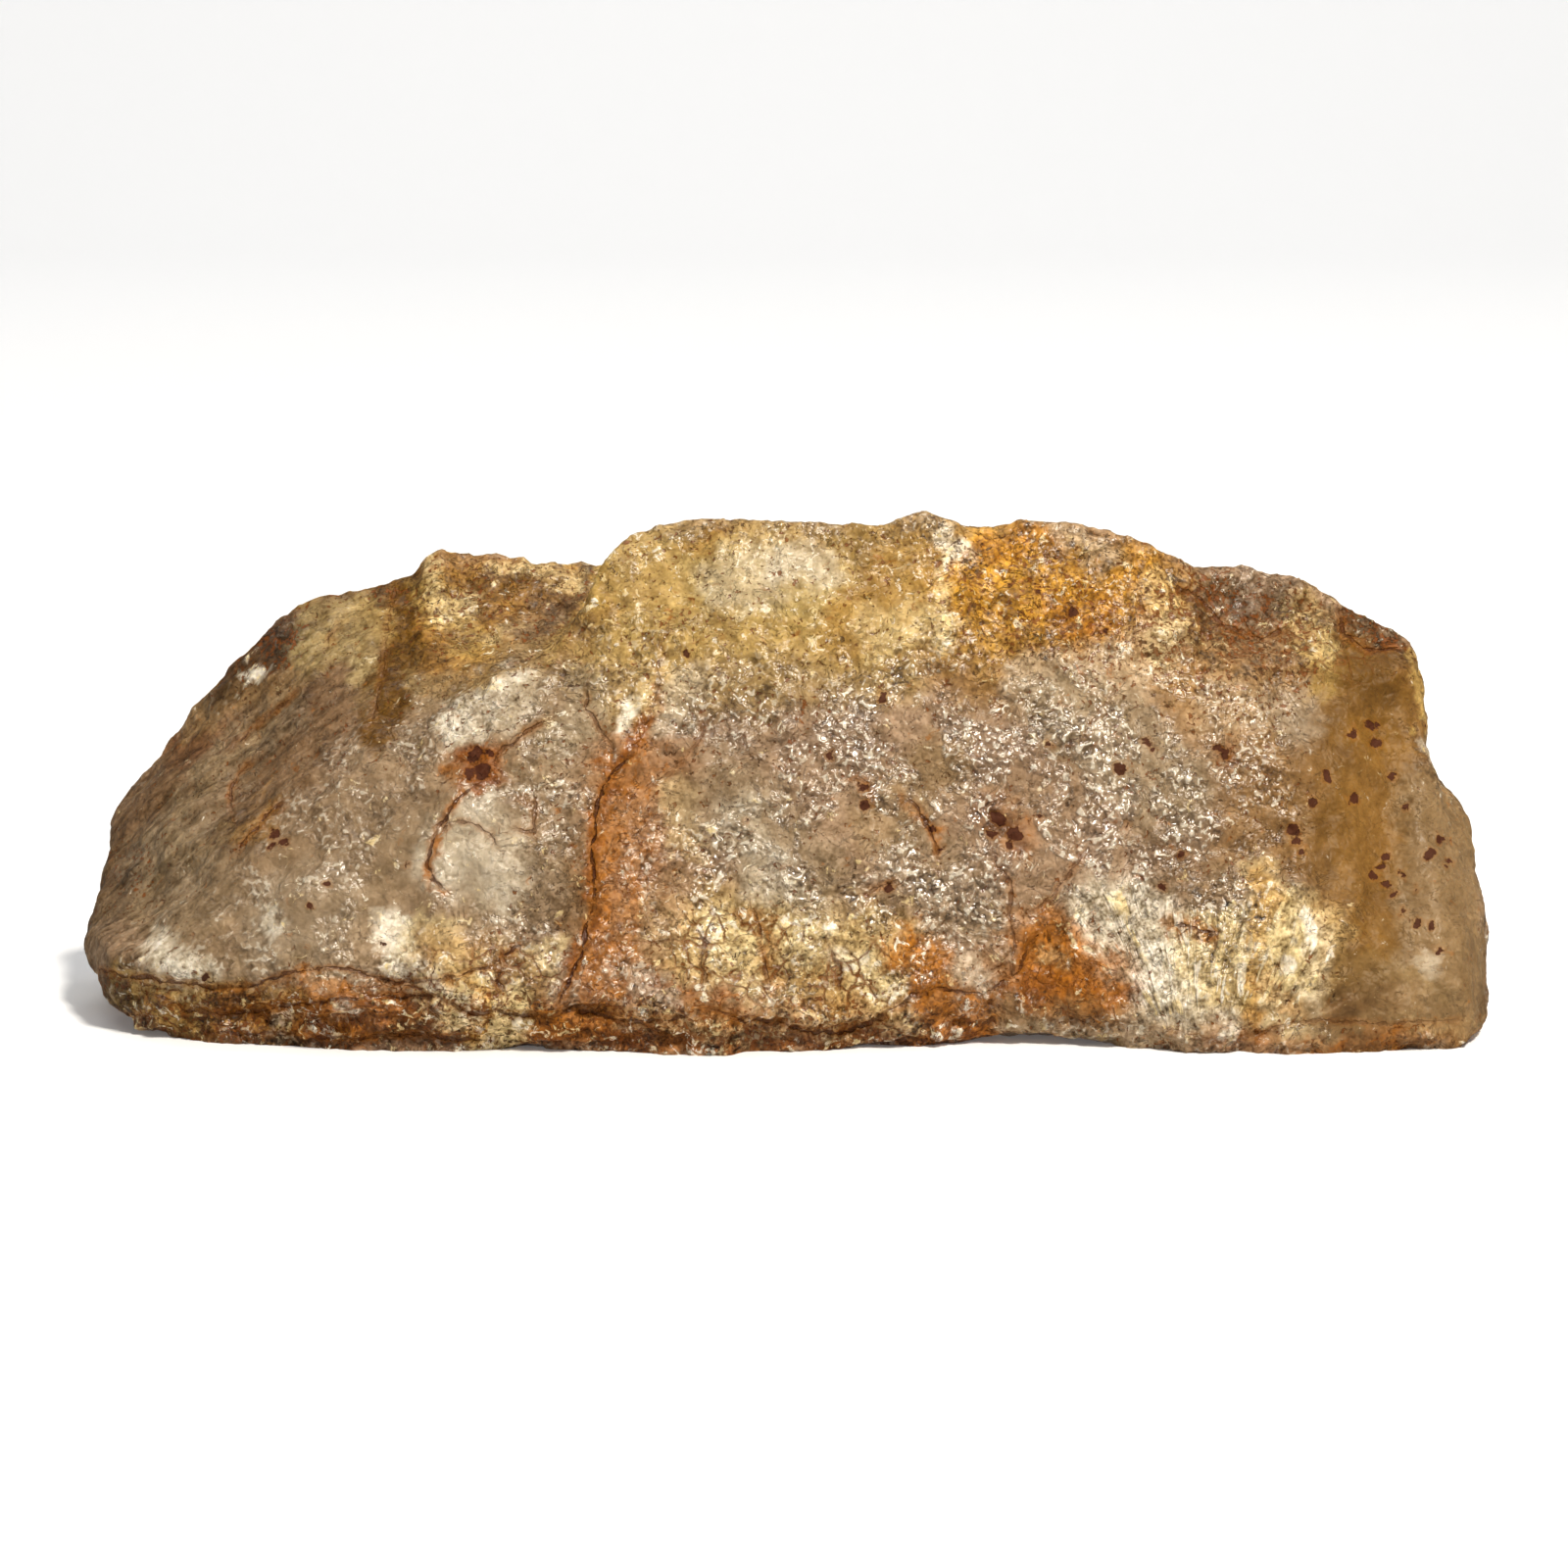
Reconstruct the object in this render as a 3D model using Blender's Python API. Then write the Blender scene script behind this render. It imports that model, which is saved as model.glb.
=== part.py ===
"""A faced piece of rough plume agate, about 150 mm long: one solid stone, broken all round and sawn flat behind.

The stone is drawn the way a boat's hull is. Rails run along its length, one for each edge that the eye follows:
the heel and the sole underneath, the foot, the lip of the undercut, the breast of the front face, the crest, the
gutter behind it and the shelf at the back. Sections across the rails are joined into a rough body, which is then
rounded, dented and roughened like a break, thinned to facets, and last cut flat where the saw went and where it
rests.

Run it with blender --background --python part.py, or from Blender's text editor.
"""

import math

import bmesh
import bpy
from mathutils import Vector, noise

MM = 0.001  # every size below is in millimetres

# Driving dimensions
SAWN_FACE_Y = 18.0  # the plane that the saw left, behind the stone
REST_Z = 0.0  # the plane of the flat spot that the stone rests on
SAW_ALLOWANCE = 3.0  # how far the rough body goes past the saw's plane, more than its lumps are deep
REST_ALLOWANCE = 0.7  # and past the resting plane
BACK_Y = SAWN_FACE_Y + SAW_ALLOWANCE
SOLE_Z = REST_Z - REST_ALLOWANCE

GRAIN = 0.8  # size of the even mesh that the forms are shaped on
ROUNDING_PASSES = 3  # softens fresh edges by about a millimetre
FACETS = 12200  # triangles before the flat cuts, which take about a quarter of them off
LEAST_EDGE = 0.03  # points nearer to each other than this become one

# Rails: (x, y, z) where each edge bends, from the left tip to the right end
FOOT = [
    (-76.6, 0.0, 5.2), (-74.2, -8.0, 2.4), (-69.8, -12.5, 0.3), (-62.0, -16.0, SOLE_Z), (-49.0, -19.0, SOLE_Z),
    (-36.0, -20.5, SOLE_Z), (-21.0, -20.5, SOLE_Z), (-8.0, -21.6, SOLE_Z), (2.0, -20.3, SOLE_Z),
    (12.0, -18.6, -0.1), (22.0, -17.0, 0.6), (33.0, -18.5, -0.1), (42.0, -21.0, SOLE_Z), (50.0, -22.0, SOLE_Z),
    (60.0, -20.5, SOLE_Z), (69.0, -18.5, SOLE_Z), (72.7, -13.0, -0.4), (73.2, -2.0, 0.8),
]
LIP = [
    (-77.0, -1.0, 7.6), (-73.0, -12.5, 8.2), (-65.0, -16.5, 8.2), (-50.5, -20.5, 8.0), (-38.0, -22.0, 9.8),
    (-30.0, -22.3, 9.0), (-24.0, -21.8, 7.4), (-10.0, -22.4, 5.0), (6.0, -21.4, 4.0), (20.0, -18.8, 4.6),
    (35.0, -19.8, 3.6), (50.0, -22.3, 3.4), (62.0, -20.8, 3.4), (69.5, -18.5, 3.0), (72.6, -12.0, 3.0),
    (73.2, -2.0, 3.5),
]
BREAST = [
    (-77.0, -1.0, 7.8), (-72.6, -12.5, 9.4), (-62.0, -16.5, 11.4), (-50.0, -17.0, 16.4), (-38.0, -14.5, 23.4),
    (-26.0, -12.0, 28.4), (-12.0, -10.5, 31.4), (6.0, -11.0, 30.4), (24.0, -10.0, 30.4), (40.0, -9.5, 28.4),
    (54.0, -9.5, 26.4), (61.0, -8.0, 23.4), (66.0, -9.5, 20.0), (69.6, -9.0, 15.0), (72.2, -6.5, 10.0),
    (73.2, -1.0, 6.5),
]
CREST = [
    (-77.0, -0.5, 8.2), (-74.4, -8.0, 9.2), (-68.4, -14.0, 9.8), (-54.1, -11.5, 21.0), (-43.1, -7.5, 29.6),
    (-31.0, -4.5, 38.2), (-26.0, -2.0, 41.0), (-22.4, 0.5, 46.4), (-21.0, 2.0, 50.2), (-18.0, 3.5, 52.2),
    (-12.5, 4.0, 52.3), (-6.8, 4.0, 53.3), (0.0, 4.0, 53.5), (5.2, 4.0, 52.4), (9.4, 4.0, 52.8),
    (13.0, 4.0, 53.8), (16.7, 4.0, 52.2), (19.8, 4.0, 51.7), (23.0, 4.0, 53.1), (30.3, 5.0, 53.5),
    (34.6, 5.0, 52.4), (39.9, 6.0, 49.7), (43.2, 7.0, 47.9), (48.5, 8.0, 47.2), (53.7, 8.0, 45.6),
    (59.1, 8.0, 43.0), (63.3, 8.0, 40.9), (65.8, 8.0, 38.8), (66.8, 7.5, 37.2), (67.6, 7.0, 34.0),
    (68.1, 6.0, 30.2), (68.1, 5.0, 26.4), (70.0, 3.0, 24.8), (71.5, 2.0, 21.4), (72.8, 1.0, 14.4),
    (73.2, 0.0, 7.5),
]
GUTTER = [
    (-77.0, 1.0, 8.2), (-68.4, -6.0, 15.0), (-54.1, -3.5, 26.8), (-43.1, -3.0, 32.0), (-31.0, -1.0, 37.2),
    (-26.0, 1.5, 38.8), (-22.4, 4.0, 40.4), (-19.6, 7.0, 44.0), (-16.7, 9.5, 47.6), (-12.5, 11.0, 49.6),
    (0.0, 11.0, 50.6), (13.0, 11.0, 51.0), (30.3, 12.0, 50.2), (43.2, 13.0, 45.4), (53.7, 13.5, 43.2),
    (65.8, 12.0, 36.4), (67.6, 11.0, 30.4), (68.6, 9.0, 23.4), (71.6, 7.0, 16.0), (73.2, 2.0, 7.5),
]
SHELF = [
    (-77.0, BACK_Y - 8.0, 11.6), (-77.0, BACK_Y - 6.0, 15.2), (-76.4, BACK_Y - 3.0, 19.6), (-73.2, BACK_Y, 25.0),
    (-68.0, BACK_Y, 31.2), (-64.0, BACK_Y, 35.6), (-58.3, BACK_Y, 41.8), (-55.0, BACK_Y, 43.8),
    (-47.5, BACK_Y, 45.8), (-43.2, BACK_Y, 46.6), (-42.2, BACK_Y, 47.4), (-41.0, BACK_Y, 50.4),
    (-39.4, BACK_Y, 49.8), (-28.0, BACK_Y, 47.8), (-21.5, BACK_Y, 47.0),
    (-16.7, BACK_Y, 45.0), (0.0, BACK_Y, 44.0), (20.0, BACK_Y, 42.5), (40.0, BACK_Y, 38.5), (60.0, BACK_Y, 32.0),
    (66.0, BACK_Y, 27.0), (70.0, BACK_Y - 2.0, 19.0), (73.2, BACK_Y - 10.0, 7.0),
]
HEEL = [
    (-77.0, BACK_Y - 10.0, 6.0), (-72.0, BACK_Y - 1.0, 3.2), (-66.0, BACK_Y, 1.6), (-58.0, BACK_Y, 0.6),
    (-40.0, BACK_Y, 1.1), (-15.0, BACK_Y, SOLE_Z), (10.0, BACK_Y, 0.4), (35.0, BACK_Y, 1.2), (50.0, BACK_Y, SOLE_Z),
    (66.0, BACK_Y, 0.8), (71.0, BACK_Y - 2.0, 1.6), (73.2, BACK_Y - 11.0, 2.5),
]
SOLE = [
    (-77.0, 5.0, 5.0), (-72.0, 2.0, 3.0), (-62.0, 0.0, 1.4), (-45.0, 0.0, 1.0), (-28.0, 2.0, SOLE_Z),
    (26.0, 4.0, SOLE_Z), (40.0, 0.0, 1.3), (62.0, 0.0, 0.8), (70.0, 2.0, 1.2), (73.2, 1.0, 2.0),
]
RAILS = [HEEL, SOLE, FOOT, LIP, BREAST, CREST, GUTTER, SHELF]

# Swells and hollows of the front, as the eye sees them: (x, z, reach across, reach up, height towards the viewer)
FRONT_FORMS = {
    "plume dome": (50.0, 11.0, 13.0, 10.0, 1.6),
    "plume ridge": (51.5, 16.0, 3.2, 9.0, 1.0),
    "honey valley": (62.0, 21.0, 4.5, 16.0, -2.2),
    "end bulge": (69.5, 13.0, 6.0, 11.0, 1.4),
    "notch in the right end": (71.0, 27.2, 4.0, 2.6, -1.4),
    "burnt hollow": (47.0, 43.2, 6.0, 4.0, -1.6),
    "burnt corner": (61.5, 41.0, 6.0, 4.5, -1.7),
    "corner lump": (56.0, 39.0, 3.2, 3.8, 1.2),
    "smoky dome": (8.0, 23.0, 22.0, 13.0, 1.2),
    "shoulder over the rust": (-8.0, 43.0, 8.0, 6.0, 0.8),
    "hollow over the rust": (-9.0, 33.0, 12.0, 6.0, -1.2),
    "pale lobe": (-32.0, 20.5, 7.5, 7.0, 1.2),
    "quartz lobe": (-30.0, 34.0, 5.0, 5.0, 0.8),
    "left cheek": (-52.0, 14.0, 12.0, 7.0, 0.9),
    "toe": (-9.0, 5.0, 9.0, 4.5, 1.3),
    "cream knob": (-34.0, 5.5, 5.5, 4.0, 1.3),
    "pebbly foot": (4.0, 11.0, 9.0, 6.0, 0.9),
    "gully": (24.0, 10.0, 4.0, 9.0, -1.5),
    "golden lump": (26.0, 45.0, 6.0, 5.0, 0.9),
}

# Steps of the break, where one layer ends against the next: (reach of the raised side, height, points (x, z)).
# The raised side is the one to the left on the way along the points.
FRONT_STEPS = {
    "rust vein": (7.0, 1.0, [(-24.6, 3.0), (-22.2, 7.5), (-20.3, 14.5), (-20.2, 21.0), (-16.8, 27.5), (-13.6, 34.0),
                             (-12.0, 41.0)]),
    "vein arc": (5.0, 0.7, [(-14.6, 24.5), (-10.6, 28.5), (-9.0, 33.0), (-8.7, 37.0)]),
    "pale lobe": (5.0, 0.8, [(-33.0, 11.0), (-36.8, 15.0), (-37.6, 20.5), (-35.0, 25.0), (-31.0, 28.0)]),
    "quartz tongue": (4.0, 0.7, [(-37.0, 29.0), (-34.0, 32.5), (-29.0, 33.5), (-25.6, 36.0)]),
    "edge of the band": (4.0, 0.8, [(-24.0, 7.6), (-32.0, 9.4), (-41.0, 9.4), (-50.0, 9.8), (-57.0, 8.4),
                                    (-66.0, 8.8), (-73.0, 8.4)]),
    "foot layer": (3.0, 1.0, [(-66.0, 3.6), (-58.0, 5.2), (-48.0, 5.0), (-38.0, 6.6), (-30.0, 4.2), (-20.0, 5.0),
                              (-9.0, 2.6)]),
    "foot layer, middle": (3.5, 0.9, [(-6.0, 4.6), (3.0, 2.4), (9.0, 4.4), (13.0, 6.4), (20.0, 5.6), (23.0, 3.4)]),
    "gully": (6.0, 0.9, [(23.4, 4.0), (24.4, 12.0), (22.6, 19.0), (24.6, 23.0)]),
    "cream step": (4.0, 0.6, [(-3.4, 15.0), (-2.2, 10.5), (-1.8, 5.0)]),
    "crest cleft": (5.5, 0.9, [(18.6, 38.0), (17.6, 46.0), (16.8, 53.0)]),
    "amber step": (5.0, 0.7, [(36.8, 52.0), (35.8, 45.0), (33.0, 40.0), (27.0, 37.5)]),
    "burnt shelf": (5.0, 1.0, [(67.0, 36.4), (60.0, 37.6), (52.0, 38.6), (46.0, 38.0), (41.0, 41.0)]),
    "corner step": (3.5, 1.0, [(58.8, 37.6), (58.4, 41.0), (56.2, 44.4)]),
    "left streak, low": (5.0, 0.7, [(-46.0, 30.2), (-54.0, 25.6), (-62.0, 18.8), (-69.0, 12.2)]),
    "left streak, high": (5.0, 0.8, [(-48.0, 39.5), (-56.0, 33.4), (-62.6, 29.0), (-67.0, 22.0)]),
    "left streak, top": (4.0, 0.7, [(-46.0, 44.0), (-53.0, 40.0), (-58.0, 36.0)]),
}
STEP_WIDTH = 0.7  # how far the face of a step slopes

# Shell-shaped scars where flakes came off: (point on the stone, way that the flake left, radius, depth)
FLAKE_SCARS = {
    "scar on the left shoulder": ((-60.0, 6.0, 27.0), (-0.5, -0.3, 0.8), 13.0, 1.5),
    "scar under the shelf": ((-33.0, 9.0, 42.0), (-0.2, -0.5, 0.85), 9.0, 1.5),
    "scar on the left end": ((-69.0, -8.0, 15.0), (-0.6, -0.6, 0.5), 7.0, 0.8),
    "scar on the crest": ((-1.0, 12.0, 49.0), (0.0, 0.4, 0.9), 13.0, 1.8),
    "long scar behind the crest": ((33.0, 14.0, 46.0), (0.1, 0.5, 0.85), 15.0, 2.2),
    "scar on the right corner": ((67.0, 14.0, 30.0), (0.8, 0.3, 0.5), 10.0, 1.8),
    "scar on the right end": ((73.0, 8.0, 12.0), (0.9, 0.3, 0.2), 9.0, 1.4),
    "notch in the right edge": ((70.6, 3.0, 26.8), (1.0, -0.2, 0.1), 4.6, 1.9),
}

# Roughness of the break, coarse to fine: (size of the lumps, height, seed offset)
BREAK_LAYERS = [
    (17.0, 1.1, 3.0),
    (7.5, 0.65, 41.0),
    (3.6, 0.34, 87.0),
]

STONE_COLOUR = (0.42, 0.33, 0.21, 1.0)  # smoky grey to ochre chalcedony, taken together
STONE_ROUGHNESS = 0.45


def clear_scene():
    for old in list(bpy.data.objects):
        bpy.data.objects.remove(old, do_unlink=True)


def on_rail(rail, x):
    """Where a rail is at x: straight from bend to bend, and held at its ends."""
    if x <= rail[0][0]:
        return rail[0][1:]
    for (x0, y0, z0), (x1, y1, z1) in zip(rail, rail[1:]):
        if x <= x1:
            share = (x - x0) / (x1 - x0)
            return (y0 + (y1 - y0) * share, z0 + (z1 - z0) * share)
    return rail[-1][1:]


def stations():
    """The x of each section: one wherever a rail bends, and none closer than half a millimetre to the last."""
    bends = sorted(knot[0] for rail in RAILS for knot in rail)
    kept = [bends[0]]
    for x in bends[1:]:
        if x - kept[-1] > 0.5:
            kept.append(x)
    kept[-1] = bends[-1]
    return kept


def rough_body():
    """Sections across the rails, bridged one to the next and capped at both ends."""
    bm = bmesh.new()
    loops = []
    for x in stations():
        ring = [bm.verts.new(Vector((x, *on_rail(rail, x)))) for rail in RAILS]
        loops.append([bm.edges.new((a, b)) for a, b in zip(ring, ring[1:] + ring[:1])])
    for near, far in zip(loops, loops[1:]):
        bmesh.ops.bridge_loops(bm, edges=near + far)
    bmesh.ops.holes_fill(bm, edges=loops[0] + loops[-1])
    bmesh.ops.recalc_face_normals(bm, faces=bm.faces)
    return bm


def as_object(bm, name):
    mesh = bpy.data.meshes.new(name)
    bm.to_mesh(mesh)
    bm.free()
    made = bpy.data.objects.new(name, mesh)
    bpy.context.scene.collection.objects.link(made)
    return made


def with_modifiers_applied(obj):
    """The object's mesh as its modifiers leave it, as a bmesh. The object itself goes."""
    graph = bpy.context.evaluated_depsgraph_get()
    bm = bmesh.new()
    bm.from_object(obj, graph)
    bpy.data.objects.remove(obj, do_unlink=True)
    return bm


def evened(bm, rounding):
    """An even mesh all over, with no folds in it, and with its edges worn a little."""
    body = as_object(bm, "rough_body")
    even = body.modifiers.new("even grain", "REMESH")
    even.mode = "VOXEL"
    even.voxel_size = GRAIN
    if rounding:
        worn = body.modifiers.new("worn edges", "SMOOTH")
        worn.factor = 0.5
        worn.iterations = rounding
    return with_modifiers_applied(body)


def soft_step(share):
    """1 at share 0, falling smoothly to 0 at share 1 and past it."""
    share = min(1.0, share)
    return (1.0 - share * share) ** 2


def press_front_forms(bm):
    """Swells and hollows of the front face. Each acts on what faces the viewer, and fades as the face turns away."""
    bm.normal_update()
    for vert in bm.verts:
        facing = max(0.0, -vert.normal.y)
        if facing == 0.0:
            continue
        rise = 0.0
        for x, z, across, up, height in FRONT_FORMS.values():
            share = math.hypot((vert.co.x - x) / across, (vert.co.z - z) / up)
            if share < 1.0:
                rise += height * soft_step(share)
        vert.co.y -= rise * min(1.0, 2.0 * facing)


def press_front_steps(bm):
    """Ledges along lines on the front: full height at the line, fading away behind it, ragged from place to place."""
    for reach, height, points in FRONT_STEPS.values():
        legs = [(Vector(a), Vector(b)) for a, b in zip(points, points[1:])]
        for vert in bm.verts:
            if vert.normal.y > -0.1:
                continue
            offset, end_gap = from_line(Vector((vert.co.x, vert.co.z)), legs)
            if -STEP_WIDTH < offset < reach and end_gap < reach:
                ragged = 0.75 + 0.9 * noise.noise(vert.co / 5.0)
                edge = min(1.0, 1.0 + offset / STEP_WIDTH) if offset < 0.0 else soft_step(offset / reach)
                vert.co.y -= height * ragged * edge * soft_step(end_gap / reach)


def from_line(point, legs):
    """How far a point is to the left of a line made of legs, and how far it is past the line's ends."""
    offset, end_gap = math.inf, 0.0
    for index, (start, end) in enumerate(legs):
        along = (end - start).normalized()
        share = (point - start).dot(along) / (end - start).length
        near = start.lerp(end, min(1.0, max(0.0, share)))
        away = (point - near).length
        if away < abs(offset):
            offset = math.copysign(away, along.cross(point - start))
            before = -share if index == 0 else 0.0
            after = share - 1.0 if index == len(legs) - 1 else 0.0
            end_gap = max(0.0, before, after) * (end - start).length
    return offset, end_gap


def press_flake_scars(bm):
    """A shell-shaped hollow for each flake: deepest in the middle, with a clear rim."""
    for place, way_out, radius, depth in FLAKE_SCARS.values():
        centre = Vector(place)
        inward = -Vector(way_out).normalized()
        for vert in bm.verts:
            share = (vert.co - centre).length / radius
            if share < 1.0 and vert.normal.dot(inward) < 0.0:
                vert.co += inward * depth * (1.0 - share * share)


def roughen(bm):
    """Lumps of the break, along each point's own normal."""
    bm.normal_update()
    moves = []
    for vert in bm.verts:
        rise = 0.0
        for size, height, seed in BREAK_LAYERS:
            rise += height * noise.noise(vert.co / size + Vector((seed, seed, seed)))
        moves.append(vert.normal * rise)
    for vert, move in zip(bm.verts, moves):
        vert.co += move


def thinned(bm):
    """The same form with few facets: many where it bends, few where it is flat."""
    count = sum(len(face.verts) - 2 for face in bm.faces)
    shaped = as_object(bm, "shaped_body")
    fewer = shaped.modifiers.new("facets", "DECIMATE")
    fewer.ratio = FACETS / count
    fewer.use_collapse_triangulate = True
    return with_modifiers_applied(shaped)


def cut_flat(bm, point, way_out):
    """Takes off all that is past a plane and closes the cut with one flat face."""
    everything = list(bm.verts) + list(bm.edges) + list(bm.faces)
    cut = bmesh.ops.bisect_plane(bm, geom=everything, plane_co=point, plane_no=way_out, clear_outer=True)
    rim = [item for item in cut["geom_cut"] if isinstance(item, bmesh.types.BMEdge)]
    bmesh.ops.triangle_fill(bm, edges=rim, use_beauty=True, normal=way_out)
    bmesh.ops.dissolve_degenerate(bm, edges=bm.edges, dist=LEAST_EDGE)


def centre_on_base(bm):
    """Puts the origin under the middle of the stone, on the surface that it rests on."""
    for axis in (0, 1):
        places = [vert.co[axis] for vert in bm.verts]
        middle = (min(places) + max(places)) / 2.0
        for vert in bm.verts:
            vert.co[axis] -= middle


def stone_material():
    material = bpy.data.materials.new("agate")
    material.use_nodes = True
    shader = material.node_tree.nodes["Principled BSDF"]
    shader.inputs["Base Color"].default_value = STONE_COLOUR
    shader.inputs["Roughness"].default_value = STONE_ROUGHNESS
    shader.inputs["Metallic"].default_value = 0.0
    return material


def build_stone():
    bm = evened(rough_body(), ROUNDING_PASSES)
    press_front_forms(bm)
    press_front_steps(bm)
    bm.normal_update()
    press_flake_scars(bm)
    roughen(bm)
    bm = thinned(evened(bm, 0))
    cut_flat(bm, (0.0, SAWN_FACE_Y, 0.0), (0.0, 1.0, 0.0))
    cut_flat(bm, (0.0, 0.0, REST_Z), (0.0, 0.0, -1.0))
    centre_on_base(bm)
    bmesh.ops.triangulate(bm, faces=[face for face in bm.faces if len(face.verts) > 3])
    bmesh.ops.scale(bm, vec=(MM, MM, MM), verts=bm.verts)
    stone = as_object(bm, "agate_stone")
    stone.data.materials.append(stone_material())
    return stone


clear_scene()
build_stone()
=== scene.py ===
# %% [markdown]
# # A faced plume agate, still rough
#
# A plume agate is chalcedony, a very fine quartz, with iron and manganese grown through it in feathery plumes.
# This one is a chunk as it comes from the ground: broken all round, rusty along its foot, ochre along its crest,
# smoky in the middle, and sawn flat behind so that a buyer can see in.
#
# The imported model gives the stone's body. This script gives it its skin: a finer mesh with the grain of the break
# on it, pigments laid where the real stone has them, and a material with the sparkle of broken quartz.

# %% Load the stone's body, and keep its box
import math

import bmesh
import bpy
import numpy as np
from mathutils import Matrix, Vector, noise


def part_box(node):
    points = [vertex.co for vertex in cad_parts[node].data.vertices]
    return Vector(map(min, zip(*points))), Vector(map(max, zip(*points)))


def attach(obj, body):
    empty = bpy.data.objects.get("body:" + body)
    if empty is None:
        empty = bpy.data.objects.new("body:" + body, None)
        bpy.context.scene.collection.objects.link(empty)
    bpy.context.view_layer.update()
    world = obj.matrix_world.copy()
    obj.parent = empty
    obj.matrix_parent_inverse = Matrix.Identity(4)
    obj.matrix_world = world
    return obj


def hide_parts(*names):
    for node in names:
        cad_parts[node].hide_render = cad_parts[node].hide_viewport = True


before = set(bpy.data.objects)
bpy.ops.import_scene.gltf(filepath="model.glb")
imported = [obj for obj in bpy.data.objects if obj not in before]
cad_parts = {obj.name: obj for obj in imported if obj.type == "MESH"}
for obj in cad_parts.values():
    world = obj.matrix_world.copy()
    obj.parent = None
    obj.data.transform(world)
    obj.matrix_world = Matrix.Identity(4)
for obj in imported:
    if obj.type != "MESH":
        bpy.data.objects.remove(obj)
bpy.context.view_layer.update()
low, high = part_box("agate_stone")
MM = 0.001
print("body box in mm:", [round((b - a) / MM, 1) for a, b in zip(low, high)])

# %% [markdown]
# ## The camera comes first
#
# The colours of this stone sit in patches, and the easiest way to say where a patch belongs is to point at it in
# the picture. So the camera is set before anything is painted, and the same few numbers that place it also tell
# which spot of the picture a point of the stone is seen at.
#
# The picture is taken from just above the table, about ten degrees up, with a long lens half a metre away.

# %% Set the camera
PICTURE = 1600.0  # pixels across and down
CAMERA_AIM = Vector((0.0, 0.0, 25.1 * MM))
CAMERA_TILT = math.radians(10.0)
CAMERA_DISTANCE = 0.48
PIXELS_PER_UNIT_SLOPE = 4595.0
SENSOR_MM = 36.0

look_up = Vector((0.0, math.sin(CAMERA_TILT), math.cos(CAMERA_TILT)))
look_in = Vector((0.0, math.cos(CAMERA_TILT), -math.sin(CAMERA_TILT)))
camera_data = bpy.data.cameras.new("picture_camera")
camera_data.sensor_width = SENSOR_MM
camera_data.lens = PIXELS_PER_UNIT_SLOPE / PICTURE * SENSOR_MM
camera_data.clip_start = 0.05
camera_data.clip_end = 20.0
camera = bpy.data.objects.new("picture_camera", camera_data)
camera.location = CAMERA_AIM - look_in * CAMERA_DISTANCE
camera.rotation_euler = (math.pi / 2.0 - CAMERA_TILT, 0.0, 0.0)
bpy.context.scene.collection.objects.link(camera)
bpy.context.scene.camera = camera
print("lens in mm:", round(camera_data.lens, 1))


def picture_spots(points):
    """For each point, in metres, where it is seen in the picture: pixels across and pixels down."""
    from_aim = points - np.array(CAMERA_AIM)
    ahead = CAMERA_DISTANCE + from_aim @ np.array(look_in)
    across = PICTURE / 2.0 + PIXELS_PER_UNIT_SLOPE * from_aim[:, 0] / ahead
    down = PICTURE / 2.0 - PIXELS_PER_UNIT_SLOPE * (from_aim @ np.array(look_up)) / ahead
    return across, down


# %% [markdown]
# ## A finer skin over the same body
#
# The body is a few thousand flat facets. A broken agate has edges and dimples down to a fraction of a millimetre,
# so a copy of the body is rebuilt as an even mesh, its facets are smoothed away, and new relief is pressed in.
#
# The saw left a crisp edge, which smoothing would spoil. So the flat faces are first pushed out past their planes,
# and after all the shaping the stone is cut again on the very same planes, as the saw did.

# %% Rebuild the copy as an even mesh
SKIN_GRAIN = 0.5 * MM  # edge length of the even mesh
FACET_SMOOTHING = 5  # rounds
FLAT_WITHIN = 0.002 * MM  # a face whose corners are all this near a plane lies in it
MERGE_WITHIN = 0.001 * MM
OVERHANG = 2.5 * MM  # how far the flat faces are pushed out before shaping
SAW_PLANE_Y = high.y
TABLE_PLANE_Z = low.z


def push_out_flat_face(bm, axis, plane, way):
    """Draws the faces that lie in the plane out by the overhang, with walls behind them."""
    flat = [face for face in bm.faces if all(abs(vert.co[axis] - plane) < FLAT_WITHIN for vert in face.verts)]
    grown = bmesh.ops.extrude_face_region(bm, geom=flat)
    moved = [item for item in grown["geom"] if isinstance(item, bmesh.types.BMVert)]
    step = Vector((0.0, 0.0, 0.0))
    step[axis] = way * OVERHANG
    bmesh.ops.translate(bm, vec=step, verts=moved)
    bmesh.ops.delete(bm, geom=flat, context="FACES")


def object_from(bm, name):
    mesh = bpy.data.meshes.new(name)
    bm.to_mesh(mesh)
    bm.free()
    made = bpy.data.objects.new(name, mesh)
    bpy.context.scene.collection.objects.link(made)
    return made


def apply_modifiers(obj):
    """Swaps the object's mesh for the one that its modifiers make."""
    graph = bpy.context.evaluated_depsgraph_get()
    finished = bpy.data.meshes.new_from_object(obj.evaluated_get(graph))
    obj.modifiers.clear()
    obj.data = finished


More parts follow.
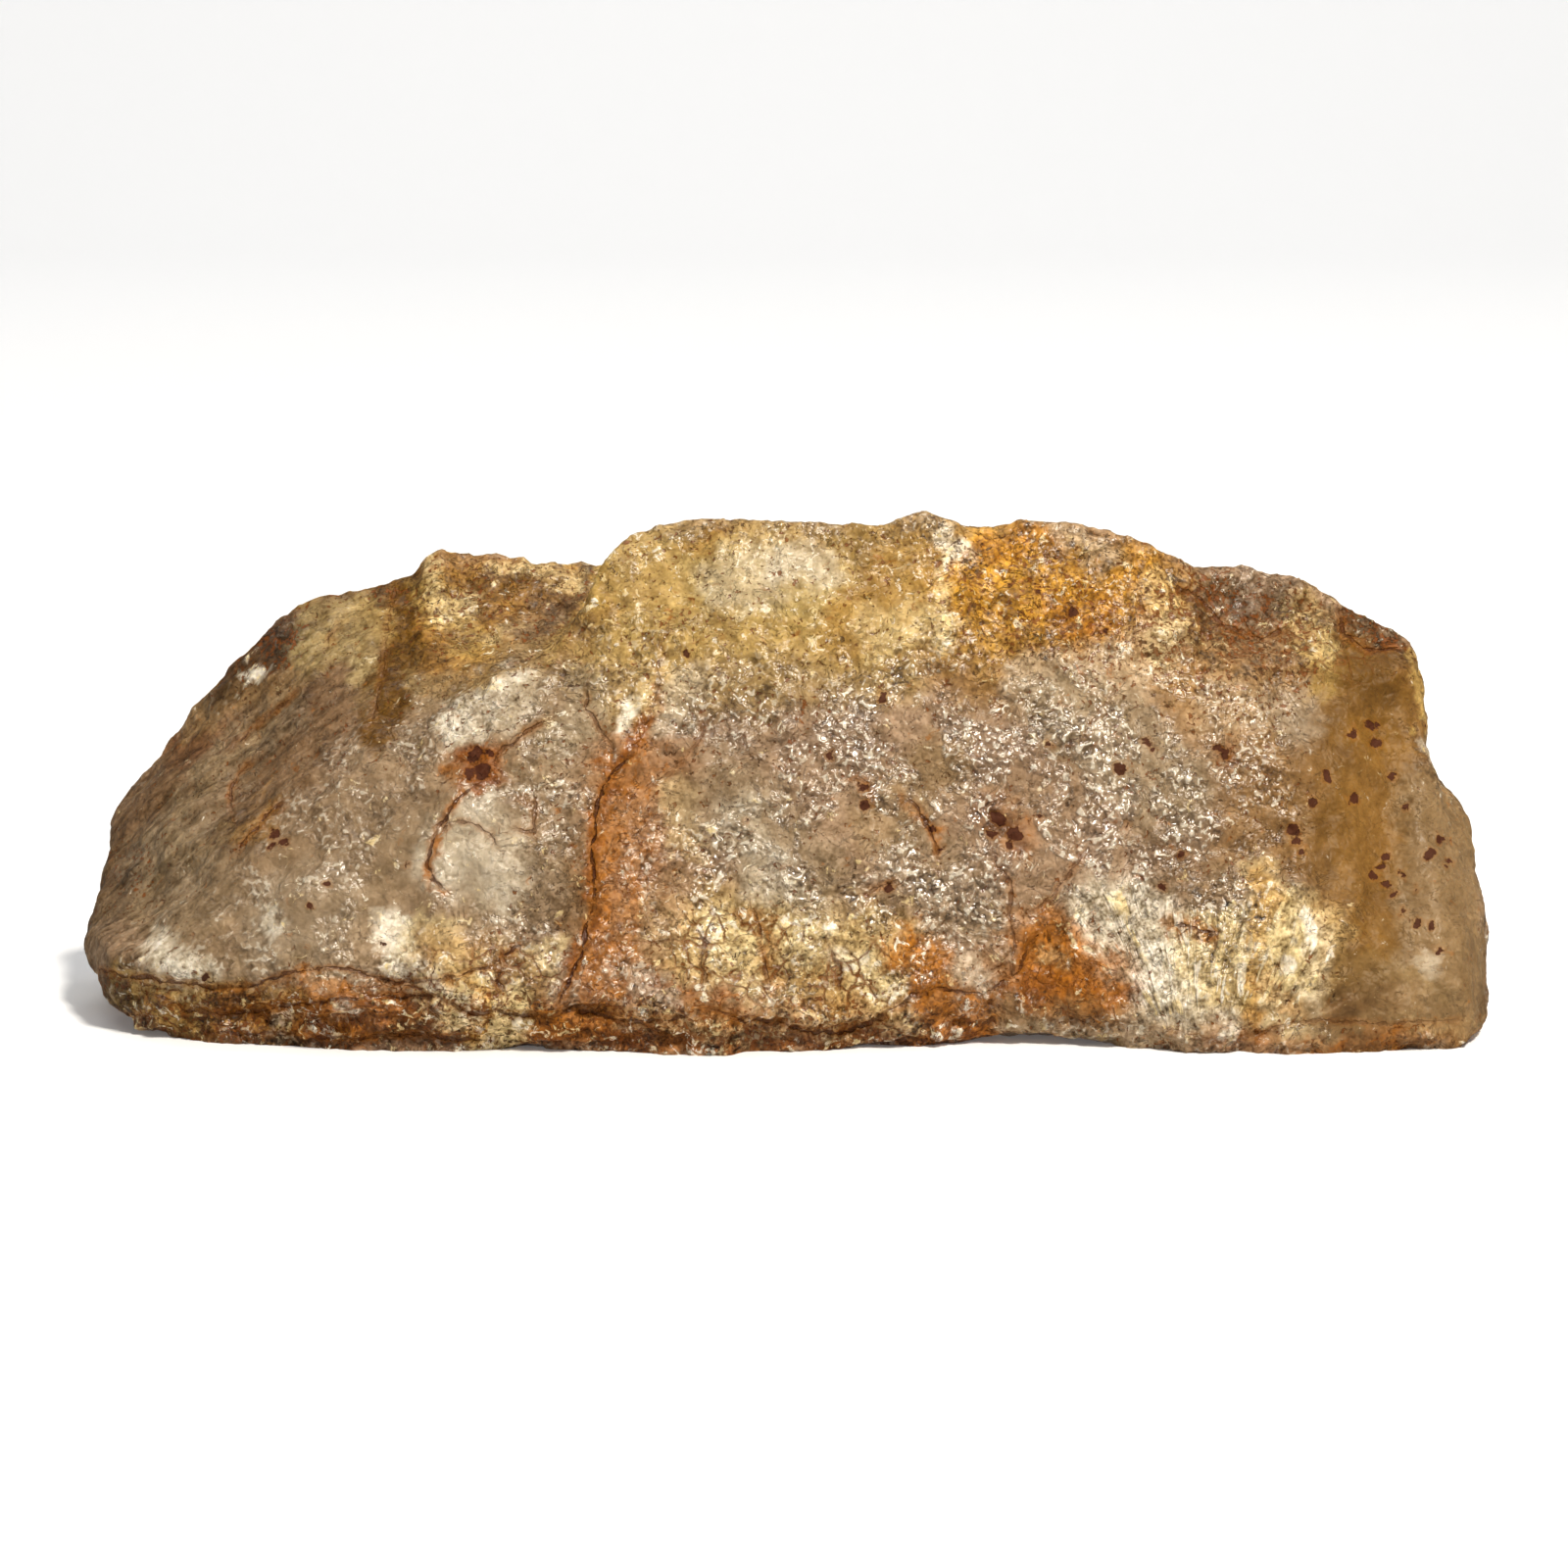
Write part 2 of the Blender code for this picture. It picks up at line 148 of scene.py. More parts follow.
skin_bm = bmesh.new()
skin_bm.from_mesh(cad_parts["agate_stone"].data)
bmesh.ops.remove_doubles(skin_bm, verts=skin_bm.verts, dist=MERGE_WITHIN)
push_out_flat_face(skin_bm, 1, SAW_PLANE_Y, 1.0)
push_out_flat_face(skin_bm, 2, TABLE_PLANE_Z, -1.0)
bmesh.ops.recalc_face_normals(skin_bm, faces=skin_bm.faces)
stone = object_from(skin_bm, "plume_agate")
even = stone.modifiers.new("even grain", "REMESH")
even.mode = "VOXEL"
even.voxel_size = SKIN_GRAIN
soften = stone.modifiers.new("no facets", "SMOOTH")
soften.factor = 0.5
soften.iterations = FACET_SMOOTHING
apply_modifiers(stone)
print("even skin:", len(stone.data.vertices), "points")


# %% [markdown]
# ## Reading the skin
#
# The relief and the pigments both ask the same three things of every point: where it is, where it is seen in the
# picture, and how much it faces the viewer. They are worked out once here, for all points together.
#
# Marks on stone never have clean outlines. So the picture spots that the brushes use are pushed about a little by
# noise, and a round brush leaves a ragged patch.

# %% Places, picture spots and facing
NOISE_SEED = 7
noise.seed_set(NOISE_SEED)  # left alone, noise vectors start from the clock and differ in each run


def read_points(mesh):
    places = np.empty(len(mesh.vertices) * 3, dtype=np.float32)
    mesh.vertices.foreach_get("co", places)
    ways = np.empty(len(mesh.vertices) * 3, dtype=np.float32)
    mesh.vertices.foreach_get("normal", ways)
    return places.reshape(-1, 3).astype(float), ways.reshape(-1, 3).astype(float)


def smooth_rise(values, start, end):
    share = np.clip((values - start) / (end - start), 0.0, 1.0)
    return share * share * (3.0 - 2.0 * share)


def lumps(places, size_mm, seed, octaves=3, stretch=(1.0, 1.0, 1.0)):
    """Cloudy noise, about -1 to 1, with lumps of the given size, longer along an axis with a bigger stretch."""
    shift = Vector((seed * 1.7, seed * 2.3, seed * 3.1))
    scaled = places / (size_mm * MM) / np.array(stretch)
    return np.array([noise.fractal(Vector(p) + shift, 0.7, 2.1, octaves) for p in scaled])


def chips(places, size_mm, seed):
    """Small tilted facets, as broken quartz has: each cell is a plane with a tilt of its own, about -1 to 1."""
    heights = np.empty(len(places))
    shift = Vector((seed * 4.1, seed * 1.3, seed * 2.9))
    for index, place in enumerate(places / (size_mm * MM)):
        spot = Vector(place) + shift
        centre = noise.voronoi(spot)[1][0]
        tilt = noise.noise_vector(centre * 7.3)
        heights[index] = (spot - centre).dot(tilt) * 2.0
    return heights


def store_number(mesh, name, values):
    layer = mesh.attributes.new(name, "FLOAT", "POINT")
    layer.data.foreach_set("value", np.asarray(values, dtype=np.float32))


def store_colour(mesh, name, values):
    layer = mesh.attributes.new(name, "FLOAT_COLOR", "POINT")
    full = np.ones((len(values), 4), dtype=np.float32)
    full[:, :3] = values
    layer.data.foreach_set("color", full.ravel())


def facing_viewer(places, ways):
    eye = np.array(camera.location)
    towards = eye - places
    towards /= np.linalg.norm(towards, axis=1)[:, None]
    return np.einsum("ij,ij->i", ways, towards)


def pushed_spots(places, *pushes):
    """Picture spots pushed about by noise. A push is its pixels, its lumps' size in mm and two seeds."""
    across, down = picture_spots(places)
    for pixels, size_mm, seed_across, seed_down in pushes:
        across = across + pixels * lumps(places, size_mm, seed_across)
        down = down + pixels * lumps(places, size_mm, seed_down)
    return across, down


places, ways = read_points(stone.data)
across, down = picture_spots(places)
facing = facing_viewer(places, ways)
print("seen in the picture from", across.min().round(), down.min().round(), "to", across.max().round(),
      down.max().round())


# %% [markdown]
# ## Brushes
#
# A mark is a line of picture spots with a width. Every point of the skin measures how far it is from that line, and
# the mark is strong where the distance is small. One helper does this for relief, pigments and cracks alike.

# %% The distance helpers
BRUSH_CORE, BRUSH_EDGE = 0.55, 1.35  # a brush covers fully to the first and ends at the second, times its width


def distance_to_line(across, down, spots):
    """Pixels from each point to a line through the spots, and on which side of the line the point is."""
    best = np.full(len(across), np.inf)
    side = np.ones(len(across))
    ends = list(zip(spots, spots[1:])) if len(spots) > 1 else [(spots[0], spots[0])]
    for (x0, y0), (x1, y1) in ends:
        dx, dy = x1 - x0, y1 - y0
        length = max(dx * dx + dy * dy, 1e-9)
        share = np.clip(((across - x0) * dx + (down - y0) * dy) / length, 0.0, 1.0)
        gap_x, gap_y = across - x0 - share * dx, down - y0 - share * dy
        gap = np.hypot(gap_x, gap_y)
        nearer = gap < best
        best = np.where(nearer, gap, best)
        side = np.where(nearer, np.where(dx * gap_y - dy * gap_x >= 0.0, 1.0, -1.0), side)
    return best, side


def brush(across, down, spots, width):
    """1 under the brush, falling to 0 past its edge."""
    gap, _ = distance_to_line(across, down, spots)
    return 1.0 - smooth_rise(gap, BRUSH_CORE * width, BRUSH_EDGE * width)


print("cover 0, 20 and 40 pixels off a brush 30 wide:",
      brush(np.array([0.0, 20.0, 40.0]), np.zeros(3), [(0, 0)], 30).round(2))


# %% [markdown]
# ## The grain of the break
#
# Quartz breaks differently in different parts of one stone. The middle of this one is hackly, a field of tiny
# tilted chips that flash in the light. The left facet broke along streaks, the right valley is smooth and waxy, the
# plume at the lower right is ribbed like a fan, and the rusty foot is layered and crumbly.
#
# So the first thing to make is a mask for each kind of break, with one broad brush stroke.

# %% Masks for the kinds of break
left_facet = brush(across, down, [(110, 960), (190, 830), (280, 720), (380, 650)], 75)
foot_band = brush(across, down, [(95, 1030), (300, 1035), (560, 1045), (900, 1068), (1500, 1080)], 30)
fan_field = brush(across, down, [(1140, 970), (1350, 970)], 75)
smooth_right = brush(across, down, [(1390, 700), (1390, 880), (1450, 1000)], 65)
smooth_left = brush(across, down, [(230, 950), (360, 880), (480, 930)], 70)
crumbly_top = brush(across, down, [(440, 620), (520, 620), (700, 570), (1000, 570), (1300, 630), (1420, 660)], 55)
hackly = np.clip(1.0 - 0.9 * left_facet - 0.8 * smooth_right - 0.8 * smooth_left, 0.15, 1.0)

print("share of hackly skin:", round(float(hackly.mean()), 2))

# %% [markdown]
# ## Relief from several noises
#
# Sculpting every chip by hand would take days. Noise does it in a second: clouds give lumps, and a Voronoi pattern
# whose cells are tilted planes gives chips. Each kind is multiplied by its mask, and the sum is how far a point of
# the skin will move, in millimetres. Faces seen at a slant get less, because there the relief would look too strong.

# %% Press the relief in
STREAK_WAY = np.array([0.62, -0.25, 0.74])  # the left facet's streaks climb to the right
STREAK_WAY /= np.linalg.norm(STREAK_WAY)


def stretched_along(places, way, times):
    """Places squeezed along a direction, so that noise read at them comes out stretched that way."""
    along = places @ way
    return places - np.outer(along * (1.0 - 1.0 / times), way)


def fan_ribs(across, down, foot, count, seed):
    """Ridges that spread from a foot point like the sticks of a fan."""
    angle = np.arctan2(across - foot[0], foot[1] - down)
    return np.cos((angle + 0.075 * lumps(places, 5.0, seed)) * count)


broad = 0.30 * lumps(places, 5.0, 1)
close = (0.12 + 0.20 * hackly) * lumps(places, 1.7, 2)
close += 0.34 * hackly * chips(places, 3.0, 3)
close += 0.22 * hackly * chips(places, 1.4, 4)
close += 0.36 * left_facet * lumps(stretched_along(places, STREAK_WAY, 4.0), 1.7, 5)
close += 0.75 * foot_band * lumps(places, 2.2, 6, stretch=(2.6, 2.6, 0.8))
close += 0.24 * crumbly_top * lumps(places, 1.3, 7)
close += 0.26 * fan_field * fan_ribs(across, down, (1288, 1090), 26, 8)
close *= 0.5 + 0.5 * smooth_rise(facing, 0.1, 0.5)
relief = broad + close
print("relief in mm: from", relief.min().round(2), "to", relief.max().round(2))

# %% [markdown]
# ## Cracks
#
# Cracks let water in, and the water leaves iron. So a crack on this stone is a hair of dark brown with a rusty hem.
# Each one is a line of picture spots. Two numbers are kept at every point of the skin near it: how far the point is
# from the crack, counted plus on one side and minus on the other, and how strong the crack is there. The material
# draws the hair where the first number passes through zero, which stays sharp even between two points.

# %% The cracks, as seen in the picture
CRACKS = {
    "rust vein, top": (0.35, [(686, 628), (676, 660), (672, 690), (668, 718), (655, 752), (641, 775)]),
    "rust vein": (1.0, [(650, 762), (641, 775), (622, 790), (614, 805), (608, 832), (604, 870), (607, 908),
                        (599, 940), (592, 978), (576, 1010), (565, 1032)]),
    "vein arc": (0.35, [(719, 716), (716, 748), (700, 775), (680, 790), (655, 812)]),
    "vein branch": (0.5, [(600, 700), (598, 722), (612, 745), (625, 760)]),
    "edge of the band, left": (0.75, [(96, 988), (130, 996), (170, 1000), (235, 1010), (268, 1004), (300, 991),
                                     (340, 987), (372, 996), (400, 1002), (425, 1001), (450, 1000), (480, 992),
                                     (510, 987)]),
    "foot layer": (0.75, [(150, 1012), (190, 1030), (240, 1034), (290, 1026), (330, 1021), (390, 1018), (440, 1014),
                         (470, 1030), (515, 1034), (560, 1036), (600, 1030), (640, 1042), (700, 1040)]),
    "foot seam": (0.8, [(725, 1030), (760, 1042), (792, 1041), (830, 1055), (870, 1050), (900, 1038), (930, 1016),
                        (960, 1009), (1000, 1015), (1016, 1030)]),
    "foot crumble": (0.7, [(205, 1052), (250, 1058), (300, 1052), (350, 1060), (420, 1055), (500, 1062)]),
    "amber vein": (0.9, [(536, 962), (512, 978), (507, 1000), (516, 1018)]),
    "knob left": (0.7, [(441, 1004), (436, 1024), (452, 1046)]),
    "round the pale plate": (0.8, [(484, 800), (470, 812), (460, 828), (448, 842), (439, 860), (436, 880), (442, 898),
                                   (456, 908)]),
    "pale plate, inner": (0.5, [(455, 842), (478, 838), (500, 848), (508, 866)]),
    "from the red spot": (0.6, [(505, 772), (528, 752), (545, 742), (562, 734)]),
    "shard edge": (0.5, [(520, 815), (545, 818), (546, 850), (522, 848)]),
    "left long crack": (0.5, [(310, 700), (282, 724), (250, 750), (238, 762)]),
    "left hook": (0.6, [(265, 770), (246, 786), (235, 802), (238, 830)]),
    "left shadow crack": (0.7, [(292, 818), (272, 834), (256, 850), (240, 872)]),
    "shoulder crack": (0.5, [(350, 634), (341, 646), (332, 664)]),
    "ledge crack": (0.3, [(404, 596), (398, 630), (392, 668), (384, 712), (376, 744)]),
    "centre crack": (0.5, [(1012, 868), (1020, 884), (1032, 900), (1028, 930), (1036, 960), (1030, 1000),
                           (1018, 1020)]),
    "centre fork": (0.5, [(1112, 868), (1098, 882), (1084, 900), (1074, 916), (1050, 930)]),
    "hooked line": (0.8, [(924, 816), (936, 824), (946, 840), (954, 858), (957, 884)]),
    "dark slash": (0.8, [(884, 911), (900, 904), (917, 900)]),
    "gully crack": (0.8, [(1004, 1018), (1022, 1004), (1040, 990), (1048, 968), (1066, 950)]),
    "red arrow": (1.0, [(1194, 943), (1212, 944), (1238, 951), (1230, 962), (1214, 952)]),
    "cream joint": (0.8, [(768, 930), (776, 948), (778, 972), (786, 1002)]),
    "cream joint, right": (0.6, [(846, 962), (858, 990), (852, 1016)]),
    "cream joint, left": (0.6, [(708, 940), (720, 962), (716, 984), (726, 1010)]),
    "amber line": (0.3, [(1156, 570), (1160, 600), (1168, 632), (1160, 660)]),
    "burnt line": (0.5, [(1196, 596), (1226, 610), (1250, 640), (1288, 652), (1318, 640)]),
    "corner line": (0.7, [(1366, 622), (1372, 650), (1398, 664), (1436, 660)]),
    "scratch, long": (0.3, [(1100, 762), (1118, 732), (1142, 700)]),
    "right foot line": (0.35, [(1180, 1050), (1240, 1062), (1300, 1050), (1350, 1040), (1420, 1046), (1500, 1040)]),
}
CRACK_REACH = 12.0  # pixels on each side that a crack's numbers are kept for
print(len(CRACKS), "cracks")

# %% [markdown]
# ## From lines to numbers
#
# The skin's points are half a millimetre apart, and a crack is thinner than that, so a colour kept at the points
# would come out as beads. A distance doesn't: it changes evenly from point to point, and the material can draw a
# line at any one of its values. Real cracks also shiver a little, so the spots are pushed about by noise first.

# %% Measure the cracks, and sink them in
CRACK_SHIVER = (3.5, 2.0, 21, 22)
CRACK_DEPTH = 0.45  # millimetres
CRACK_HALF_WIDTH = 4.0  # pixels


def measure_cracks(places, facing):
    """For each point, its offset from the nearest crack in pixels, with a sign, and that crack's strength."""
    across, down = pushed_spots(places, CRACK_SHIVER)
    offset = np.full(len(across), CRACK_REACH)
    strength = np.zeros(len(across))
    nearest = np.full(len(across), np.inf)
    for force, spots in CRACKS.values():
        gap, side = distance_to_line(across, down, spots)
        tip = np.minimum(np.hypot(across - spots[0][0], down - spots[0][1]),
                         np.hypot(across - spots[-1][0], down - spots[-1][1]))
        closer = gap < nearest
        nearest = np.where(closer, gap, nearest)
        offset = np.where(closer, gap * side, offset)
        here = force * (1.0 - smooth_rise(gap, 0.6 * CRACK_REACH, CRACK_REACH)) * smooth_rise(tip, -2.0, 14.0)
        strength = np.where(closer, here, strength)
    return np.clip(offset, -CRACK_REACH, CRACK_REACH), strength * smooth_rise(facing, 0.02, 0.2)


crack_offset, crack_strength = measure_cracks(places, facing)
relief -= CRACK_DEPTH * crack_strength * np.exp(-(crack_offset / CRACK_HALF_WIDTH) ** 2)
print("points near a crack:", int((crack_strength > 0.1).sum()))

# %% [markdown]
# ## Moving the points, and sawing
#
# Every point now moves along its own normal by its relief. How deep each point lies in the close relief is kept too,
# for the material: it darkens the hollows with umber and lets grains gather by them.
#
# Then the saw: the mesh is cut on the flat planes of the body, and the holes are closed with flat faces that get a
# material of their own. The rim is marked sharp, so that shading doesn't round the edge.

# %% Move the points, and cut the stone flat again
FULL_HOLLOW = 0.35  # millimetres of close relief that count as one whole hollow
BROKEN_SLOT, SAWN_SLOT = 0, 1

store_number(stone.data, "hollow", np.clip(-close / FULL_HOLLOW, -2.0, 2.0))
for vert, place, way, rise in zip(stone.data.vertices, places, ways, relief):
    vert.co = Vector(place + way * rise * MM)


def cut_and_close(bm, point, way_out):
    """Takes off what is past the plane, closes the cut, and returns the new flat faces."""
    everything = list(bm.verts) + list(bm.edges) + list(bm.faces)
    cut = bmesh.ops.bisect_plane(bm, geom=everything, plane_co=point, plane_no=way_out, clear_outer=True)
    rim = [item for item in cut["geom_cut"] if isinstance(item, bmesh.types.BMEdge)]
    filled = bmesh.ops.triangle_fill(bm, edges=rim, use_beauty=True, normal=way_out)
    for edge in rim:
        edge.smooth = False
    flat = [item for item in filled["geom"] if isinstance(item, bmesh.types.BMFace)]
    for face in flat:
        face.material_index = SAWN_SLOT
        face.smooth = False
    return flat


stone.data.materials.clear()
skin_bm = bmesh.new()
skin_bm.from_mesh(stone.data)
for face in skin_bm.faces:
    face.smooth = True
    face.material_index = BROKEN_SLOT
sawn_count = len(cut_and_close(skin_bm, (0.0, SAW_PLANE_Y, 0.0), (0.0, 1.0, 0.0)))
resting_count = len(cut_and_close(skin_bm, (0.0, 0.0, TABLE_PLANE_Z), (0.0, 0.0, -1.0)))
skin_bm.to_mesh(stone.data)
skin_bm.free()
print("faces: sawn", sawn_count, "resting", resting_count, "in all", len(stone.data.polygons))

# %% [markdown]
# ## Pigments
#
# Agate is coloured by what grew in it: iron gives rust, ochre and honey, clay gives cream, manganese near-black,
# and clean chalcedony is smoky grey. These are the stone's few pigments. Everything on it is one of them, thick or
# thin, over another.

# %% The palette
PALETTE = {
    "smoke": "#795C3E",
    "mist": "#937F61",
    "lilac smoke": "#987B5E",
    "milk": "#C6B79D",
    "chalk": "#EDE1C9",
    "fawn": "#8C7148",
    "honey": "#63410C",
    "ochre": "#9D6E24",
    "gold": "#C0861B",
    "straw": "#B2914F",
    "olive": "#A68E57",
    "cream": "#E0C68E",
    "umber": "#432B14",
    "rust": "#97580F",
    "orange": "#A6620E",
    "brick": "#79400F",
    "oxblood": "#42190A",
    "tar": "#1F130B",
}


def light_value(hex_colour):
    """The colour as light adds up, which is what the shader works in."""
    shades = [int(hex_colour[i:i + 2], 16) / 255.0 for i in (1, 3, 5)]
    return [s / 12.92 if s <= 0.04045 else ((s + 0.055) / 1.055) ** 2.4 for s in shades]


PIGMENT = {name: np.array(light_value(code)) for name, code in PALETTE.items()}
print(len(PIGMENT), "pigments")

# %% [markdown]
# ## Laying the pigments
#
# A painter would start with the big fields, then patches, then small marks, and so does this list. Each mark says
# its pigment, how thick it lies, how wide the brush is in pixels of the picture, and where the brush goes. Order
# matters: a later mark covers an earlier one.
#
# The big fields are smoke in the middle and at the left, straw and ochre along the crest, honey in the right valley,
# cream where the plume fans out, and rust along the foot.

# %% The big fields
MARKS = [
    ("lilac smoke", 1.0, 300, [(800, 800)]),
    ("smoke", 1.0, 85, [(110, 960), (180, 850), (260, 740), (360, 650)]),
    ("mist", 0.60, 80, [(240, 930), (340, 880), (440, 800), (540, 740)]),
    ("mist", 0.50, 80, [(300, 940), (460, 900), (560, 850)]),
    ("smoke", 0.40, 100, [(230, 900), (420, 850), (520, 780)]),
    ("smoke", 0.25, 60, [(240, 910), (320, 900)]),
    ("straw", 0.85, 75, [(640, 600), (760, 600), (880, 600), (1000, 600)]),
    ("straw", 0.6, 60, [(640, 680), (760, 670), (900, 660)]),
    ("ochre", 0.85, 60, [(430, 620), (560, 620)]),
    ("honey", 0.30, 50, [(440, 630), (550, 630)]),
    ("gold", 0.85, 62, [(1010, 590), (1090, 600), (1150, 610)]),
    ("ochre", 0.6, 60, [(1000, 660), (1150, 660), (1200, 640)]),
    ("ochre", 0.5, 55, [(1230, 690), (1330, 700), (1420, 720)]),
    ("honey", 0.60, 80, [(1380, 720), (1375, 820), (1375, 920), (1385, 1020)]),
    ("honey", 0.55, 60, [(1396, 700), (1392, 820), (1388, 920), (1392, 1020)]),
    ("ochre", 0.30, 40, [(1400, 760), (1396, 860), (1392, 960)]),
    ("honey", 0.5, 50, [(1315, 760), (1330, 840)]),
    ("fawn", 0.9, 46, [(1470, 830), (1468, 920), (1480, 1030)]),
    ("smoke", 0.45, 46, [(1470, 830), (1468, 920), (1480, 1030)]),
    ("fawn", 0.6, 30, [(1400, 1000), (1500, 1040)]),
    ("milk", 0.90, 62, [(1140, 950), (1190, 985), (1200, 1010)]),
    ("cream", 0.85, 52, [(1250, 980), (1300, 960), (1325, 970)]),
    ("straw", 0.6, 55, [(700, 950), (800, 960), (900, 980)]),
    ("cream", 0.35, 50, [(720, 960), (800, 970), (890, 1000)]),
    ("rust", 0.36, 64, [(660, 800), (652, 880), (648, 960), (648, 1040)]),
    ("orange", 0.16, 36, [(640, 800), (636, 880), (632, 960), (636, 1040)]),
    ("rust", 0.85, 26, [(160, 1040), (300, 1035), (440, 1035), (560, 1045)]),
    ("orange", 0.70, 30, [(560, 1046), (700, 1048), (850, 1052), (1000, 1046)]),
    ("brick", 0.60, 14, [(560, 1058), (700, 1060), (850, 1062), (1000, 1052)]),
    ("oxblood", 0.35, 8, [(620, 1050), (700, 1054), (780, 1056), (870, 1058), (950, 1040)]),
    ("cream", 0.35, 16, [(640, 1034), (720, 1040), (820, 1046), (930, 1040)]),
    ("brick", 0.5, 18, [(240, 1056), (400, 1060), (520, 1062)]),
    ("orange", 0.35, 16, [(1010, 1055), (1200, 1068), (1380, 1066), (1510, 1055)]),
    ("cream", 0.25, 12, [(1260, 1054), (1380, 1050), (1500, 1046)]),
]
print(len(MARKS), "big fields")

# %% [markdown]
# ## The left facet and the ledge
#
# The facet is grey-brown, with dark streaks that climb it, painted shade along its top edge and a pale, chalky bruise
# near its top. The ledge beside it is honey in its shade and straw where it catches the light, with a painted shadow
# line where the crest overhangs it and a painted highlight on the crest's edge beside it.

# %% Marks on the left facet and the ledge
MARKS += [
    ("umber", 0.30, 12, [(150, 900), (200, 840), (260, 770), (330, 715)]),
    ("umber", 0.25, 9, [(190, 890), (240, 820), (300, 760)]),
    ("fawn", 0.45, 10, [(170, 850), (220, 780), (280, 730)]),
    ("fawn", 0.35, 12, [(130, 930), (180, 880), (230, 850)]),
    ("umber", 0.75, 20, [(222, 700), (262, 672), (296, 656)]),
    # painted shade along the facet's top edge
    ("umber", 0.5, 16, [(262, 640), (310, 618), (360, 606), (410, 600)]),
    ("umber", 0.20, 30, [(130, 900), (160, 830), (200, 760)]),
    ("mist", 0.35, 60, [(120, 960), (180, 900)]),
    ("brick", 0.3, 26, [(190, 760), (230, 735), (270, 712)]),
    ("umber", 0.45, 10, [(236, 870), (262, 845), (290, 818)]),
    ("ochre", 0.4, 16, [(248, 850), (280, 822)]),
    ("olive", 0.55, 34, [(320, 660), (370, 640), (400, 690)]),
    ("cream", 0.45, 13, [(372, 690), (394, 672)]),
    ("fawn", 0.5, 20, [(192, 735), (240, 716), (292, 700)]),
    ("mist", 0.35, 26, [(150, 880), (220, 800), (290, 730)]),
    ("chalk", 0.8, 6, [(256, 686), (262, 678)]),
    ("chalk", 0.6, 3, [(241, 705)]),
    ("tar", 0.5, 10, [(278, 655), (296, 645)]),
    ("umber", 0.3, 36, [(110, 990), (104, 940), (118, 890)]),
    ("umber", 0.55, 14, [(392, 612), (408, 598), (418, 590)]),
    ("honey", 0.97, 21, [(412, 612), (406, 660), (398, 700), (384, 748)]),
    ("straw", 0.6, 20, [(436, 600), (470, 640), (500, 670)]),
    ("umber", 0.30, 12, [(470, 610), (520, 600), (570, 612)]),
    ("umber", 0.35, 8, [(452, 644), (500, 624), (552, 632)]),
    ("umber", 0.35, 6, [(478, 598), (526, 592), (566, 600)]),
    ("umber", 0.30, 7, [(428, 690), (446, 660), (470, 648)]),
    ("ochre", 0.45, 24, [(450, 690), (500, 680), (530, 672)]),
    ("cream", 0.50, 8, [(450, 628), (484, 612)]),
    ("cream", 0.50, 9, [(500, 650), (540, 646)]),
    # painted shadow, in this mark and the next: a dark line on the ledge where the crest overhangs it
    ("umber", 0.80, 10, [(534, 662), (556, 644), (576, 620), (592, 594), (602, 572)]),
    ("tar", 0.35, 4, [(560, 644), (578, 620), (594, 594)]),
    # painted highlight on the crest's lit edge, beside that shadow
    ("straw", 0.7, 9, [(560, 668), (586, 644), (604, 616), (620, 584)]),
    ("smoke", 0.5, 18, [(520, 660), (560, 630), (590, 600)]),
    ("fawn", 0.7, 22, [(440, 700), (490, 700), (540, 680)]),
    ("cream", 0.6, 8, [(438, 570), (444, 590), (450, 615)]),
    ("cream", 0.5, 9, [(500, 580), (548, 584), (590, 588)]),
]
print(len(MARKS), "marks so far")

# %% [markdown]
# ## The pale front and the left foot
#
# Under the facet the stone is nearly clean chalcedony, misty with milk-white bruises, and one brick-red spot stands
# out on it. The foot below is a band of rust layers with a lump of cream clay in it.

